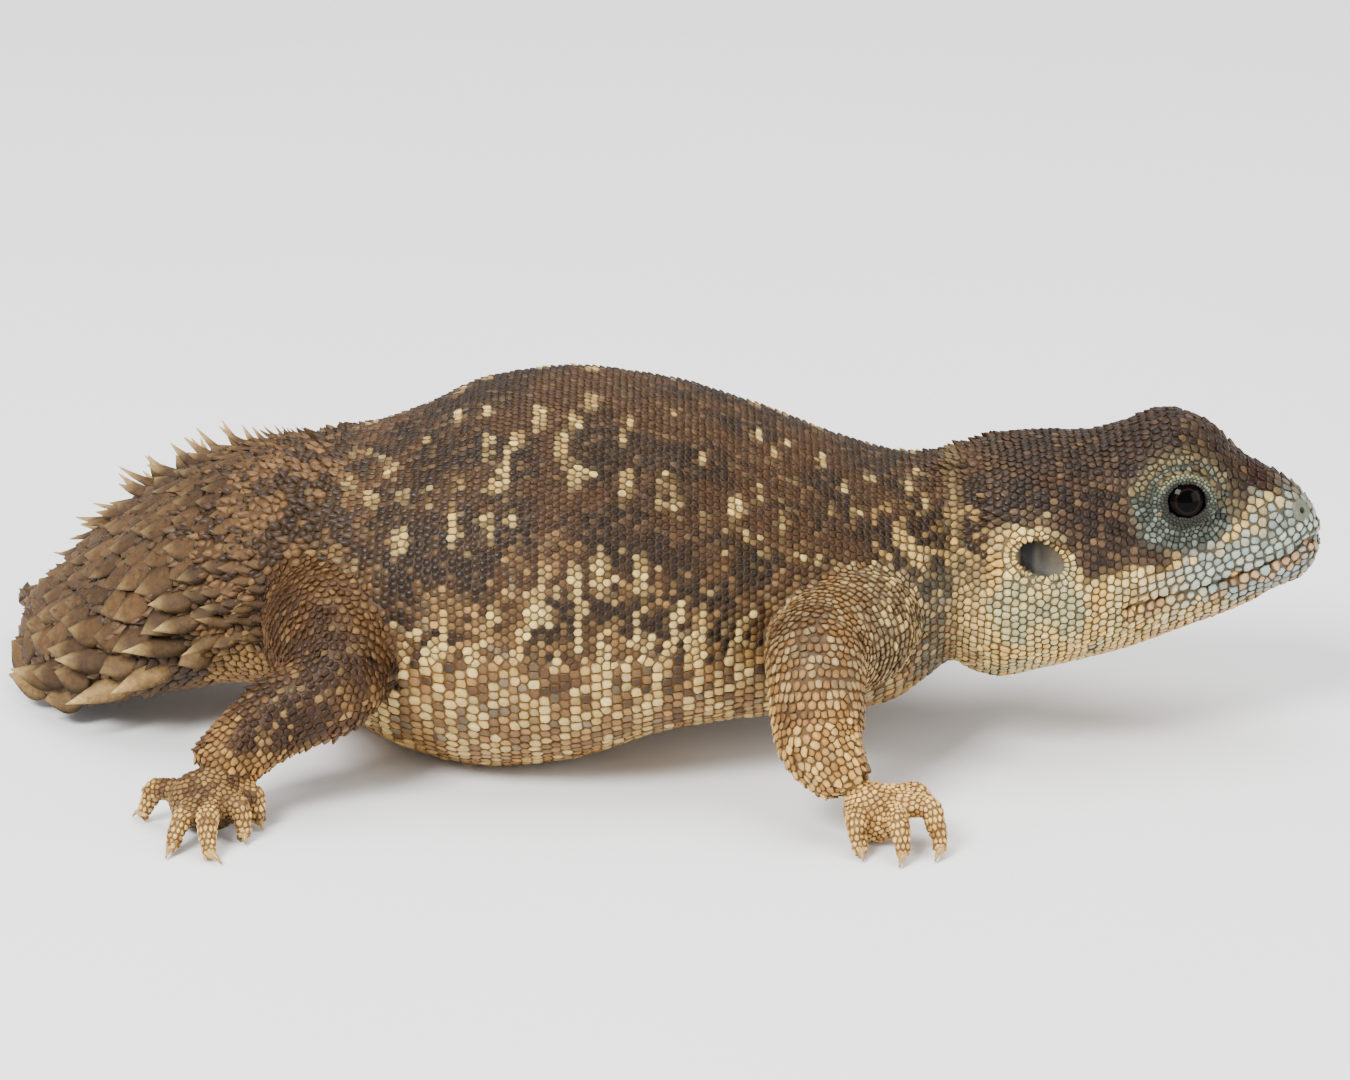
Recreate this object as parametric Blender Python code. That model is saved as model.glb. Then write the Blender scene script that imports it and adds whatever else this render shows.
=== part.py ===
"""A life-size still model of a shield-tailed agama, resting on its belly with its head raised.

The frame is in metres with +Z up. +X runs from the belly towards the snout, the animal's right side
faces -Y, and the origin is the middle of the flat on which the belly rests.
"""

import math
import random
from dataclasses import dataclass, replace

import bmesh
import bpy
import numpy as np
from mathutils import Matrix, Vector

# Driving dimensions, in metres unless a name says otherwise.
MM = 0.001
GAP = 0.3 * MM  # clearance between neighbouring pieces
FLOOR_DEPTH = 12 * MM  # thickness of the block that trims the soles flat
RIGHT, LEFT = 1, -1

HEAD_FROM = 35.2 * MM  # the head's rear face
NECK_FROM = 29.8 * MM  # the neck's rear face
TORSO_FROM = -18.6 * MM  # the torso's rear face
SHIELD_FROM = -21.6 * MM  # where the first whorl of the tail shield begins
TIP_FROM = -38.2 * MM  # where the thin end of the tail begins

EYE_RADIUS = 2.1 * MM
EYE_PLACE = Vector((50.4, -5.2, 20.1)) * MM  # the right eye's centre
EYE_OUT = Vector((0.08, -0.98, 0.18)).normalized()  # the way the right eye looks
LID_RING_RADIUS, LID_THICKNESS, LID_OUT = 1.85 * MM, 0.42 * MM, 1.55 * MM
BROW_FOLD = ((46.0, 20.7), (48.0, 22.6), (50.1, 23.3), (52.6, 22.3), (55.0, 19.6))  # x and z, in mm
BROW_FOLD_RADIUS = 0.42 * MM

MOUTH_LINE = (
    (45.6, 12.5), (48.7, 12.95), (51.7, 13.2), (54.3, 13.8), (56.5, 14.3), (58.4, 14.95), (59.8, 15.5),
)
MOUTH_FRONT = Vector((61.45, 0, 15.9)) * MM
MOUTH_WIDTH, MOUTH_DEPTH = 0.45 * MM, 0.6 * MM
LIP_RADIUS, LIP_OFFSET, LIP_SINK = 0.5 * MM, 0.6 * MM, 0.28 * MM

EAR_SPOT, EAR_SIZE = (39.3, 16.8), Vector((1.85, 1.35, 1.45)) * MM  # x and z, then the cup's half sizes
NOSTRIL_SPOT, NOSTRIL_SIZE = (59.5, 18.3), Vector((0.42, 0.8, 0.42)) * MM

WHORL_STEP = 2.15 * MM  # from one ring of tail plates to the next
WHORL_SPAN = math.radians(94)  # how far round from the back the rings reach on either side
PLATE_WIDTH = 2.9 * MM
PLATE_LENGTH, SPINE_LENGTH = 2.6 * MM, 4.1 * MM
PLATE_LIFT, SPINE_LIFT = 0.6 * MM, 2.5 * MM
EDGE_RAISE = 0.7  # how far the edge plates' lift turns upwards
EDGE_SPLAY = 0.45  # how far the edge plates lean outwards from the tail
PLATE_KEEL, SPINE_KEEL, PLATE_SINK = 0.6 * MM, 0.8 * MM, 0.55 * MM

LIMB_SIDES = 12  # corners round a leg's cross-section

SKIN_BROWN = (0.13, 0.085, 0.055)
SHIELD_BROWN = (0.16, 0.11, 0.07)
EYE_BLACK = (0.012, 0.01, 0.009)


@dataclass(frozen=True)
class Station:
    """One cross-section of the body, all sizes in millimetres and angles in degrees.

    yaw turns the section towards the animal's left, pitch dips the tail end, and roll lowers the
    right edge. The section is a superellipse with one exponent above its widest line and one below.
    """

    name: str
    x: float
    y: float
    z: float
    half_width: float
    rise: float
    drop: float
    upper: float = 2.1
    lower: float = 2.1
    yaw: float = 0.0
    pitch: float = 0.0
    roll: float = 0.0


BODY = [
    Station("snout tip", 61.5, 0, 15.9, 0.5, 0.5, 0.6),
    Station("rostral", 61.0, 0, 15.6, 1.9, 1.9, 2.2),
    Station("nostrils", 59.8, 0, 15.5, 3.0, 3.8, 3.4, 2.3, 2.3),
    Station("muzzle", 58.4, 0, 15.4, 3.9, 5.0, 3.7, 2.4, 2.4),
    Station("front of eyes", 55.5, 0, 15.3, 5.0, 6.7, 5.1, 2.4, 2.4),
    Station("eyes", 52.5, 0, 15.2, 6.2, 9.3, 6.1, 2.4, 2.4),
    Station("crown", 49.5, 0, 15.1, 7.3, 10.1, 7.0, 2.4, 2.4),
    Station("back of crown", 46.5, 0, 14.9, 8.7, 9.4, 7.8, 2.3, 2.3),
    Station("temples", 43.5, 0, 14.6, 9.9, 8.9, 8.2, 2.2, 2.2),
    Station("ears", 40.0, 0, 14.3, 10.6, 9.15, 8.6, 2.2, 2.2),
    Station("jowls", 37.2, 0, 13.9, 10.6, 9.3, 9.0, 2.2, 2.2),
    Station("throat", 34.9, 0, 13.5, 10.0, 9.05, 8.3),
    Station("throat fold", 33.0, 0, 13.1, 9.3, 8.7, 7.0),
    Station("collar", 31.2, 0, 12.7, 10.2, 9.0, 7.9),
    Station("breast", 28.5, 0, 12.4, 11.8, 9.4, 9.2, 2.1, 2.3),
    Station("shoulders", 25.0, 0, 12.5, 13.4, 10.2, 9.8, 2.1, 2.4),
    Station("ribs", 18.0, 0, 12.6, 16.0, 12.7, 9.9, 2.1, 2.4),
    Station("mid-back", 11.0, 0, 12.8, 18.2, 14.5, 10.9, 2.1, 2.4),
    Station("belly", 4.0, 0, 12.8, 19.0, 15.3, 13.3, 2.1, 2.4),
    Station("full belly", -2.0, 0, 12.7, 18.4, 14.7, 14.0, 2.1, 2.4),
    Station("loins", -8.0, 0.5, 12.4, 16.6, 12.4, 12.8, 2.1, 2.3, 3),
    Station("hips", -13.0, 1.5, 12.2, 14.2, 10.8, 10.2, 2.1, 2.2, 6, 2, 2),
    Station("vent", -17.5, 3.0, 11.9, 12.0, 9.9, 8.2, 2.1, 2.1, 12, 6, 6),
    Station("tail base", -21.0, 4.6, 11.0, 11.4, 9.3, 7.2, 2.1, 2.1, 18, 12, 12),
    Station("shield front", -25.0, 6.8, 9.5, 12.4, 7.8, 5.6, 2.0, 2.1, 24, 18, 18),
    Station("shield middle", -29.0, 9.4, 7.9, 13.0, 6.2, 3.8, 1.9, 2.1, 28, 20, 22),
    Station("shield rear", -32.5, 11.9, 6.5, 12.0, 4.8, 2.9, 1.9, 2.1, 31, 20, 24),
    Station("shield end", -35.2, 14.0, 5.4, 9.2, 3.5, 2.2, 1.9, 2.1, 34, 18, 22),
    Station("shield close", -37.0, 15.6, 4.8, 5.4, 2.5, 1.7, 2.0, 2.1, 38, 16, 18),
    Station("tip root", -38.2, 17.0, 4.4, 2.2, 1.6, 1.3, 2.0, 2.0, 46, 14, 12),
    Station("tip middle", -39.9, 19.4, 3.8, 1.3, 1.1, 0.9, 2.0, 2.0, 54, 12, 8),
    Station("tip end", -41.2, 22.0, 3.3, 0.4, 0.4, 0.4, 2.0, 2.0, 60, 10, 4),
]


@dataclass(frozen=True)
class Swelling:
    """A soft bump on the body, or a hollow where height is negative, all in millimetres."""

    name: str
    x: float
    y: float
    z: float
    radius: float
    height: float
    sides: tuple = (RIGHT, LEFT)


SWELLINGS = [
    Swelling("brow", 50.2, -3.2, 24.8, 3.2, 0.35),
    Swelling("lids", 50.8, -6.6, 20.2, 2.8, 0.5),
    Swelling("hollow before the eye", 55.2, -4.6, 19.8, 2.2, -0.5),
    Swelling("hollow behind the eye", 46.0, -8.4, 20.4, 2.6, -0.5),
    Swelling("nostril mound", 59.6, -2.6, 18.3, 1.2, 0.35),
    Swelling("jowl", 38.2, -10.2, 10.6, 4.4, 0.7),
    Swelling("cheek", 44.5, -9.4, 11.8, 4.0, 0.4),
    Swelling("nape fold", 32.9, -1.5, 22.0, 1.5, 0.7),
]


@dataclass(frozen=True)
class Limb:
    """One leg: joints in millimetres for the right side, and the tube's radii along it."""

    name: str
    joints: tuple
    radii: tuple
    cut: float  # where along the tube, from 0 to 1, the leg is parted below its middle joint
    palm: tuple  # centre x, y, z, then half length, half width and half height
    toes: tuple  # each: root, knuckle, claw's base and claw's tip


def smooth_rows(at, rows, where):
    """Monotone cubic interpolation of rows given at places at, read at where."""
    at, rows, where = (np.asarray(v, float) for v in (at, rows, where))
    step = np.diff(at)[:, None]
    slope = np.diff(rows, axis=0) / step
    same = slope[:-1] * slope[1:] > 0
    weight_a, weight_b = 2 * step[1:] + step[:-1], step[1:] + 2 * step[:-1]
    inner = np.zeros_like(slope[:-1])
    total = np.broadcast_to(weight_a + weight_b, inner.shape)
    before, after = np.where(same, slope[:-1], 1), np.where(same, slope[1:], 1)
    parts = np.where(same, weight_a / before + weight_b / after, 1)
    inner[same] = (total / parts)[same]
    tangent = np.vstack([slope[:1], inner, slope[-1:]])
    k = np.clip(np.searchsorted(at, where, side="right") - 1, 0, len(at) - 2)
    width = (at[k + 1] - at[k])[:, None]
    t = (where - at[k])[:, None] / width
    return (
        rows[k] * (1 + 2 * t) * (1 - t) ** 2
        + tangent[k] * width * t * (1 - t) ** 2
        + rows[k + 1] * t * t * (3 - 2 * t)
        + tangent[k + 1] * width * t * t * (t - 1)
    )


class BodySurface:
    """The whole body from snout to tail tip as one surface of two parameters.

    place is the distance along the body in metres, from the snout, and angle runs from 0 on the
    back over the right side (pi / 2) and the belly (pi) to the left side.
    """

    def __init__(self, grow=0.0):
        rows = np.array(
            [[s.x, s.y, s.z, s.half_width, s.rise, s.drop] for s in BODY]
        ) * MM
        shape = np.array([[s.upper, s.lower, s.yaw, s.pitch, s.roll] for s in BODY])
        shape[:, 2:] = np.radians(shape[:, 2:])
        self.rows = np.hstack([rows, shape])
        self.rows[:, 3:6] += grow
        centres = rows[:, :3]
        lengths = np.linalg.norm(np.diff(centres, axis=0), axis=1)
        self.at = np.concatenate([[0], np.cumsum(lengths)])
        self.grow = grow

    def place_of(self, x):
        """The place whose centre has this x."""
        places = np.linspace(self.at[0], self.at[-1], 2000)
        xs = smooth_rows(self.at, self.rows, places)[:, 0]
        return float(places[np.argmin(abs(xs - x))])

    def bare(self, place, angle):
        """Points of the plain loft, without the swellings."""
        r = smooth_rows(self.at, self.rows, place.ravel()).reshape(*place.shape, -1)
        cos, sin = np.cos(angle), np.sin(angle)
        power = 2 / np.where(cos >= 0, r[..., 6], r[..., 7])
        reach = np.where(cos >= 0, r[..., 4], r[..., 5])
        across = r[..., 3] * np.sign(sin) * abs(sin) ** power
        above = reach * np.sign(cos) * abs(cos) ** power
        yaw, pitch, roll = r[..., 8], r[..., 9], r[..., 10]
        zero = np.zeros_like(yaw)
        right = np.stack([-np.sin(yaw), -np.cos(yaw), zero], -1)
        up = np.stack([-np.cos(yaw) * np.sin(pitch), np.sin(yaw) * np.sin(pitch), np.cos(pitch)], -1)
        c, s = np.cos(roll)[..., None], np.sin(roll)[..., None]
        side = right * c - up * s
        crown = up * c + right * s
        return r[..., :3] + side * across[..., None] + crown * above[..., None]

    def normal(self, place, angle):
        """The outward normal of the plain loft, from small steps along both parameters."""
        step = 1e-5
        along = self.bare(np.clip(place + step, 0, self.at[-1]), angle) - self.bare(
            np.clip(place - step, 0, self.at[-1]), angle
        )
        around = self.bare(place, angle + 1e-3) - self.bare(place, angle - 1e-3)
        n = np.cross(along, around)
        return n / np.maximum(np.linalg.norm(n, axis=-1, keepdims=True), 1e-12)

    def points(self, place, angle):
        """Points of the finished surface: the loft pushed out by each swelling's bell curve."""
        p, n = self.bare(place, angle), self.normal(place, angle)
        push = np.zeros(p.shape[:-1])
        for s in SWELLINGS:
            for side in s.sides:
                away = np.linalg.norm(p / MM - (s.x, s.y * side, s.z), axis=-1)
                push += s.height * MM * np.exp(-((away / s.radius) ** 2))
        return p + n * push[..., None]


    def at_height(self, x, z, side):
        """The surface point with this x and height on one side, and the outward normal there."""
        place = self.place_of(x)
        angles = np.linspace(0.02, np.pi - 0.02, 240)
        heights = self.points(np.full(240, place), angles)[:, 2]
        angle = np.interp(-z, -heights, angles) * side
        spot = np.array([place]), np.array([angle])
        return Vector(self.points(*spot)[0]), Vector(self.normal(*spot)[0])


def new_object(name, mesh, collection):
    made = bpy.data.objects.new(name, mesh)
    collection.objects.link(made)
    return made


def grid_mesh(name, grid):
    """A closed mesh from rings of points, each ring closed on itself and each end filled by one n-gon."""
    rings, around = grid.shape[:2]
    index = np.arange(rings * around).reshape(rings, around)
    a, b = index[:-1], index[1:]
    quads = np.stack([a, b, np.roll(b, -1, 1), np.roll(a, -1, 1)], -1).reshape(-1, 4)
    faces = quads.tolist() + [index[0].tolist(), index[-1][::-1].tolist()]
    mesh = bpy.data.meshes.new(name)
    mesh.from_pydata(grid.reshape(-1, 3).tolist(), [], faces)
    tidy = bmesh.new()
    tidy.from_mesh(mesh)
    bmesh.ops.remove_doubles(tidy, verts=tidy.verts, dist=1e-7)
    bmesh.ops.recalc_face_normals(tidy, faces=tidy.faces)
    bmesh.ops.triangulate(tidy, faces=[f for f in tidy.faces if len(f.verts) > 4])
    tidy.to_mesh(mesh)
    tidy.free()
    return mesh


def body_length(surface, start, end, rings, around, helper):
    """A closed length of the body between two places, as an object."""
    places = np.linspace(start, end, rings)
    angles = np.linspace(0, 2 * np.pi, around, endpoint=False)
    place, angle = np.meshgrid(places, angles, indexing="ij")
    return new_object("length", grid_mesh("length", surface.points(place, angle)), helper)


def tube(path, radii, rings, around, helper, flatten=1.0):
    """A closed tube along a smooth path, with one radius at each of the path's points."""
    path = np.array(path, float)
    at = np.concatenate([[0], np.cumsum(np.linalg.norm(np.diff(path, axis=0), axis=1))])
    where = np.linspace(0, at[-1], rings)
    rows = smooth_rows(at, np.hstack([path, np.array(radii, float)[:, None]]), where)
    return swept(rows[:, :3], rows[:, 3], around, helper, flatten)


def swept(centres, radii, around, helper, flatten=1.0):
    """Rings square to the line of centres, each upright, and flattened in height."""
    ahead = np.gradient(centres, axis=0)
    ahead /= np.linalg.norm(ahead, axis=1, keepdims=True)
    across = np.cross(ahead, (0, 0, 1.0))
    weak = np.linalg.norm(across, axis=1) < 0.2
    across[weak] = np.cross(ahead[weak], (0, 1.0, 0))
    across /= np.linalg.norm(across, axis=1, keepdims=True)
    upward = np.cross(across, ahead)
    turn = np.linspace(0, 2 * np.pi, around, endpoint=False)
    grid = centres[:, None] + radii[:, None, None] * (
        across[:, None] * np.cos(turn)[None, :, None]
        + upward[:, None] * np.sin(turn)[None, :, None] * flatten
    )
    return new_object("tube", grid_mesh("tube", grid), helper)


def ellipsoid(centre, radii, helper, turn=Matrix.Identity(4), segments=16, rings=10):
    mesh = bpy.data.meshes.new("ellipsoid")
    ball = bmesh.new()
    bmesh.ops.create_uvsphere(ball, u_segments=segments, v_segments=rings, radius=1.0)
    bmesh.ops.transform(ball, matrix=Matrix.Diagonal((*radii, 1.0)), verts=ball.verts)
    bmesh.ops.transform(ball, matrix=turn, verts=ball.verts)
    bmesh.ops.translate(ball, vec=centre, verts=ball.verts)
    ball.to_mesh(mesh)
    ball.free()
    return new_object("ellipsoid", mesh, helper)


def block(low, high, helper):
    mesh = bpy.data.meshes.new("block")
    cube = bmesh.new()
    bmesh.ops.create_cube(cube, size=1.0)
    size = Vector(high) - Vector(low)
    bmesh.ops.scale(cube, vec=size, verts=cube.verts)
    bmesh.ops.translate(cube, vec=(Vector(high) + Vector(low)) / 2, verts=cube.verts)
    cube.to_mesh(mesh)
    cube.free()
    return new_object("block", mesh, helper)


def keep_largest(mesh):
    """Drops every closed surface but the largest, such as a loose scrap or a sealed hollow."""
    whole = bmesh.new()
    whole.from_mesh(mesh)
    left, groups = set(whole.verts), []
    while left:
        seed = left.pop()
        group, edge = {seed}, [seed]
        while edge:
            for e in edge.pop().link_edges:
                for v in e.verts:
                    if v in left:
                        left.discard(v)
                        group.add(v)
                        edge.append(v)
        groups.append(group)
    groups.sort(key=len, reverse=True)
    loose = [v for group in groups[1:] for v in group]
    bmesh.ops.delete(whole, geom=loose, context="VERTS")
    whole.to_mesh(mesh)
    whole.free()


def combined(target, others, operation, solver="MANIFOLD"):
    """Joins others to target, or cuts them from it, in one Boolean, and removes them."""
    if not others:
        return target
    operands = bpy.data.collections.new("operands")
    for other in others:
        operands.objects.link(other)
    boolean = target.modifiers.new(operation.lower(), "BOOLEAN")
    boolean.operation = operation
    boolean.operand_type = "COLLECTION"
    boolean.collection = operands
    boolean.solver = solver
    bpy.context.view_layer.update()
    graph = bpy.context.evaluated_depsgraph_get()
    mesh = bpy.data.meshes.new_from_object(target.evaluated_get(graph))
    target.modifiers.clear()
    target.data = mesh
    bpy.data.collections.remove(operands)
    for other in others:
        bpy.data.objects.remove(other)
    keep_largest(mesh)
    return target


def swollen(obj, by, helper):
    """A copy of a piece with its surface moved outwards, to cut a neighbour clear of it."""
    mesh = obj.data.copy()
    copy = bmesh.new()
    copy.from_mesh(mesh)
    copy.normal_update()
    moves = [v.normal * by * min(v.calc_shell_factor(), 1.6) for v in copy.verts]
    for v, move in zip(copy.verts, moves):
        v.co += move
    copy.to_mesh(mesh)
    copy.free()
    return new_object("swollen", mesh, helper)


def finish(obj, name, collection, helper, material):
    """Names a finished piece, dresses it and moves it to the part's collection."""
    obj.name = obj.data.name = name
    helper.objects.unlink(obj)
    collection.objects.link(obj)
    obj.data.materials.clear()
    obj.data.materials.append(material)
    obj.data.shade_smooth()
    obj.data.set_sharp_from_angle(angle=math.radians(50))
    return obj


def matte(name, colour, roughness):
    """A plain matt surface such as dry scaly skin."""
    made = bpy.data.materials.new(name)
    made.use_nodes = True
    shader = made.node_tree.nodes["Principled BSDF"]
    shader.inputs["Base Color"].default_value = (*colour, 1)
    shader.inputs["Roughness"].default_value = roughness
    shader.inputs["Metallic"].default_value = 0.0
    return made


FORELEG = Limb(
    name="fore",
    joints=((27.0, -5, 12.5), (25.4, -12, 12.2), (22.3, -18.9, 12.2), (22.5, -22.3, 7.2), (24.6, -24.2, 4.0)),
    radii=(4.6, 4.7, 3.9, 3.4, 2.1),
    cut=0.6,
    palm=(26.6, -25.1, 2.3, 2.6, 2.3, 2.35),
    toes=(
        ((25.4, -25.6, 2.6), (25.1, -27.3, 2.2), (25.4, -28.7, 0.55), (25.6, -29.8, 0.12)),
        ((27.2, -26.2, 2.9), (28.2, -28.4, 2.8), (28.4, -30.0, 0.55), (28.1, -31.0, 0.12)),
        ((28.2, -25.6, 3.1), (30.6, -26.9, 3.3), (31.2, -28.6, 0.55), (30.7, -29.8, 0.12)),
        ((28.0, -24.4, 3.2), (29.6, -24.6, 3.7), (31.0, -25.8, 0.55), (31.0, -26.9, 0.12)),
        ((26.6, -23.6, 2.4), (27.4, -22.5, 2.4), (28.0, -21.9, 0.55), (28.7, -21.3, 0.12)),
    ),
)

HINDLEG = Limb(
    name="hind",
    joints=(
        (-15, -3.5, 11), (-13.6, -10.5, 11.6), (-13.2, -16.9, 9.7), (-18.0, -18.8, 7.1), (-22.3, -21.3, 3.9),
    ),
    radii=(5.6, 5.6, 3.9, 3.1, 2.4),
    cut=0.58,
    palm=(-22.6, -22.9, 2.4, 3.0, 2.3, 2.5),
    toes=(
        ((-24.0, -22.2, 2.8), (-26.4, -21.4, 2.8), (-27.6, -20.9, 0.55), (-28.5, -20.3, 0.12)),
        ((-23.2, -24.4, 2.6), (-24.2, -26.4, 2.1), (-24.8, -27.9, 0.55), (-25.2, -29.2, 0.12)),
        ((-22.0, -24.8, 2.8), (-22.2, -27.2, 2.5), (-21.9, -29.2, 0.55), (-20.8, -30.3, 0.12)),
        ((-20.8, -24.2, 2.7), (-20.0, -24.8, 2.7), (-19.7, -25.4, 0.55), (-19.5, -26.4, 0.12)),
        ((-20.4, -22.8, 2.8), (-19.1, -22.5, 2.8), (-18.8, -22.6, 0.55), (-18.4, -23.4, 0.12)),
    ),
)
TOE_RADII = (1.1, 0.9, 0.62, 0.16)  # at the root, the knuckle, the claw's base and its tip


def flip(p):
    """A point of the right side, on the left."""
    return (p[0], -p[1], *p[2:])


def mirrored(limb):
    """The same leg on the animal's left side."""
    return replace(
        limb,
        joints=tuple(flip(p) for p in limb.joints),
        palm=flip(limb.palm),
        toes=tuple(tuple(flip(p) for p in toe) for toe in limb.toes),
    )


def turned(limb, degrees, out):
    """The leg turned about its root as seen from above, then moved outwards."""
    x0, y0 = limb.joints[0][:2]
    cos, sin = math.cos(math.radians(degrees)), math.sin(math.radians(degrees))

    def move(p):
        x, y = p[0] - x0, p[1] - y0
        return (x0 + x * cos - y * sin, y0 + x * sin + y * cos + out, *p[2:])

    return replace(
        limb,
        joints=tuple(move(p) for p in limb.joints),
        palm=move(limb.palm),
        toes=tuple(tuple(move(p) for p in toe) for toe in limb.toes),
    )


def limb_rows(limb):
    """The leg's line of centres and radii, in metres, at even steps."""
    path = np.array(limb.joints) * MM
    radii = np.array(limb.radii)[:, None] * MM
    at = np.concatenate([[0], np.cumsum(np.linalg.norm(np.diff(path, axis=0), axis=1))])
    return at, np.hstack([path, radii])


def limb_length(limb, start, end, rings, helper):
    """A closed length of the leg between two shares of its path."""
    at, rows = limb_rows(limb)
    fine = np.linspace(0, at[-1], 200)
    found = smooth_rows(at, rows, fine)
    where = np.linspace(start, end, rings) * at[-1]
    picked = np.stack([np.interp(where, fine, found[:, k]) for k in range(4)], -1)
    ahead = np.stack([np.interp(where, fine, np.gradient(found[:, k])) for k in range(3)], -1)
    ahead /= np.linalg.norm(ahead, axis=1, keepdims=True)
    across = np.cross(ahead, (0.55, 0.0, 0.83))
    across /= np.linalg.norm(across, axis=1, keepdims=True)
    upward = np.cross(across, ahead)
    turn = np.linspace(0, 2 * np.pi, LIMB_SIDES, endpoint=False)
    grid = picked[:, None, :3] + picked[:, None, 3:] * (
        across[:, None] * np.cos(turn)[None, :, None] + upward[:, None] * np.sin(turn)[None, :, None]
    )
    return new_object("length", grid_mesh("length", grid), helper)


def mouth_path(surface):
    """Surface points and outward normals along the mouth, from the right corner round to the left."""
    right = [surface.at_height(x * MM, z * MM, RIGHT) for x, z in MOUTH_LINE]
    left = [surface.at_height(x * MM, z * MM, LEFT) for x, z in reversed(MOUTH_LINE)]
    return right + [(MOUTH_FRONT, Vector((1, 0, 0)))] + left


def mouth_groove(surface, helper):
    """A wedge along the mouth, to be cut from the head."""
    up = Vector((0, 0, MOUTH_WIDTH / 2))
    grid = [
        [p + n * MM + up, p + n * MM - up, p - n * MOUTH_DEPTH] for p, n in mouth_path(surface)
    ]
    return new_object("groove", grid_mesh("groove", np.array(grid)), helper)


def lip(surface, rise, helper):
    """A rounded rim along the mouth, above or below it."""
    path = [p - n * LIP_SINK + Vector((0, 0, rise)) for p, n in mouth_path(surface)]
    radii = [LIP_RADIUS * 0.55] + [LIP_RADIUS] * (len(path) - 2) + [LIP_RADIUS * 0.55]
    return tube(np.array(path), np.array(radii), 15, 5, helper)


def lid_ring(side, helper):
    """The thick rim of both eyelids: a ring round the way the eye looks."""
    out = Vector((EYE_OUT.x, EYE_OUT.y * side, EYE_OUT.z))
    across = out.cross(Vector((0, 0, 1))).normalized()
    upward = across.cross(out)
    centre = Vector((EYE_PLACE.x, EYE_PLACE.y * side, EYE_PLACE.z)) + out * LID_OUT
    around, section = 14, 5
    verts, faces = [], []
    for i in range(around):
        a = 2 * math.pi * i / around
        spoke = across * math.cos(a) * 1.12 + upward * math.sin(a)
        for j in range(section):
            b = 2 * math.pi * j / section
            reach = LID_RING_RADIUS + LID_THICKNESS * math.cos(b)
            verts.append(centre + spoke * reach + out * LID_THICKNESS * math.sin(b))
            i2, j2 = (i + 1) % around, (j + 1) % section
            faces.append((i * section + j, i2 * section + j, i2 * section + j2, i * section + j2))
    mesh = bpy.data.meshes.new("lids")
    mesh.from_pydata(verts, [], faces)
    tidy = bmesh.new()
    tidy.from_mesh(mesh)
    bmesh.ops.recalc_face_normals(tidy, faces=tidy.faces)
    tidy.to_mesh(mesh)
    tidy.free()
    return new_object("lids", mesh, helper)


def brow_fold(surface, side, helper):
    """The fold of the upper lid, an arch over the eye."""
    spots = [surface.at_height(x * MM, z * MM, side) for x, z in BROW_FOLD]
    path = [p - n * BROW_FOLD_RADIUS * 0.35 for p, n in spots]
    radii = [BROW_FOLD_RADIUS * k for k in (0.5, 1.0, 1.1, 1.0, 0.5)]
    return tube(np.array(path), np.array(radii), 8, 5, helper)


def dress_head(head, surface, helper):
    """Adds the lids and lips to the head, then cuts the sockets, mouth, nostrils and ear cups."""
    added = [lip(surface, LIP_OFFSET, helper), lip(surface, -LIP_OFFSET, helper)]
    cutters = [mouth_groove(surface, helper), floor_block(helper)]
    for side in (RIGHT, LEFT):
        added += [lid_ring(side, helper), brow_fold(surface, side, helper)]
        eye = Vector((EYE_PLACE.x, EYE_PLACE.y * side, EYE_PLACE.z))
        cutters.append(ellipsoid(eye, (EYE_RADIUS + GAP,) * 3, helper, segments=16, rings=9))
        for (x, z), size in ((EAR_SPOT, EAR_SIZE), (NOSTRIL_SPOT, NOSTRIL_SIZE)):
            place = surface.at_height(x * MM, z * MM, side)[0]
            cutters.append(ellipsoid(place, size, helper, segments=10, rings=7))
    combined(head, added, "UNION")
    combined(head, cutters, "DIFFERENCE")


def plate(base, rear, out, width, length, keel, lift, helper):
    """A keeled plate rooted in the skin: a pointed leaf whose rear tip stands free."""
    side = out.cross(rear).normalized() * (width / 2)
    root = -out * PLATE_SINK
    verts = [
        base - rear * length * 0.4 + root,
        base + side + root * 0.7,
        base + rear * length * 0.8 + out * lift,
        base - side + root * 0.7,
        base + out * keel,
        base + rear * length * 0.2 + root * 2.2,
    ]
    ring = (0, 1, 2, 3)
    faces = [(ring[i], ring[(i + 1) % 4], 4) for i in range(4)]
    faces += [(ring[(i + 1) % 4], ring[i], 5) for i in range(4)]
    mesh = bpy.data.meshes.new("plate")
    mesh.from_pydata(verts, [], faces)
    tidy = bmesh.new()
    tidy.from_mesh(mesh)
    bmesh.ops.recalc_face_normals(tidy, faces=tidy.faces)
    tidy.to_mesh(mesh)
    tidy.free()
    return new_object("plate", mesh, helper)


def edge_share(degrees):
    """How far a plate counts as a long edge spine, from 0 on top to 1 near the far and near rims."""
    far, near = (-degrees - 14) / 34, (degrees - 50) / 32
    return min(1.0, max(0.0, far, near))


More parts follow.
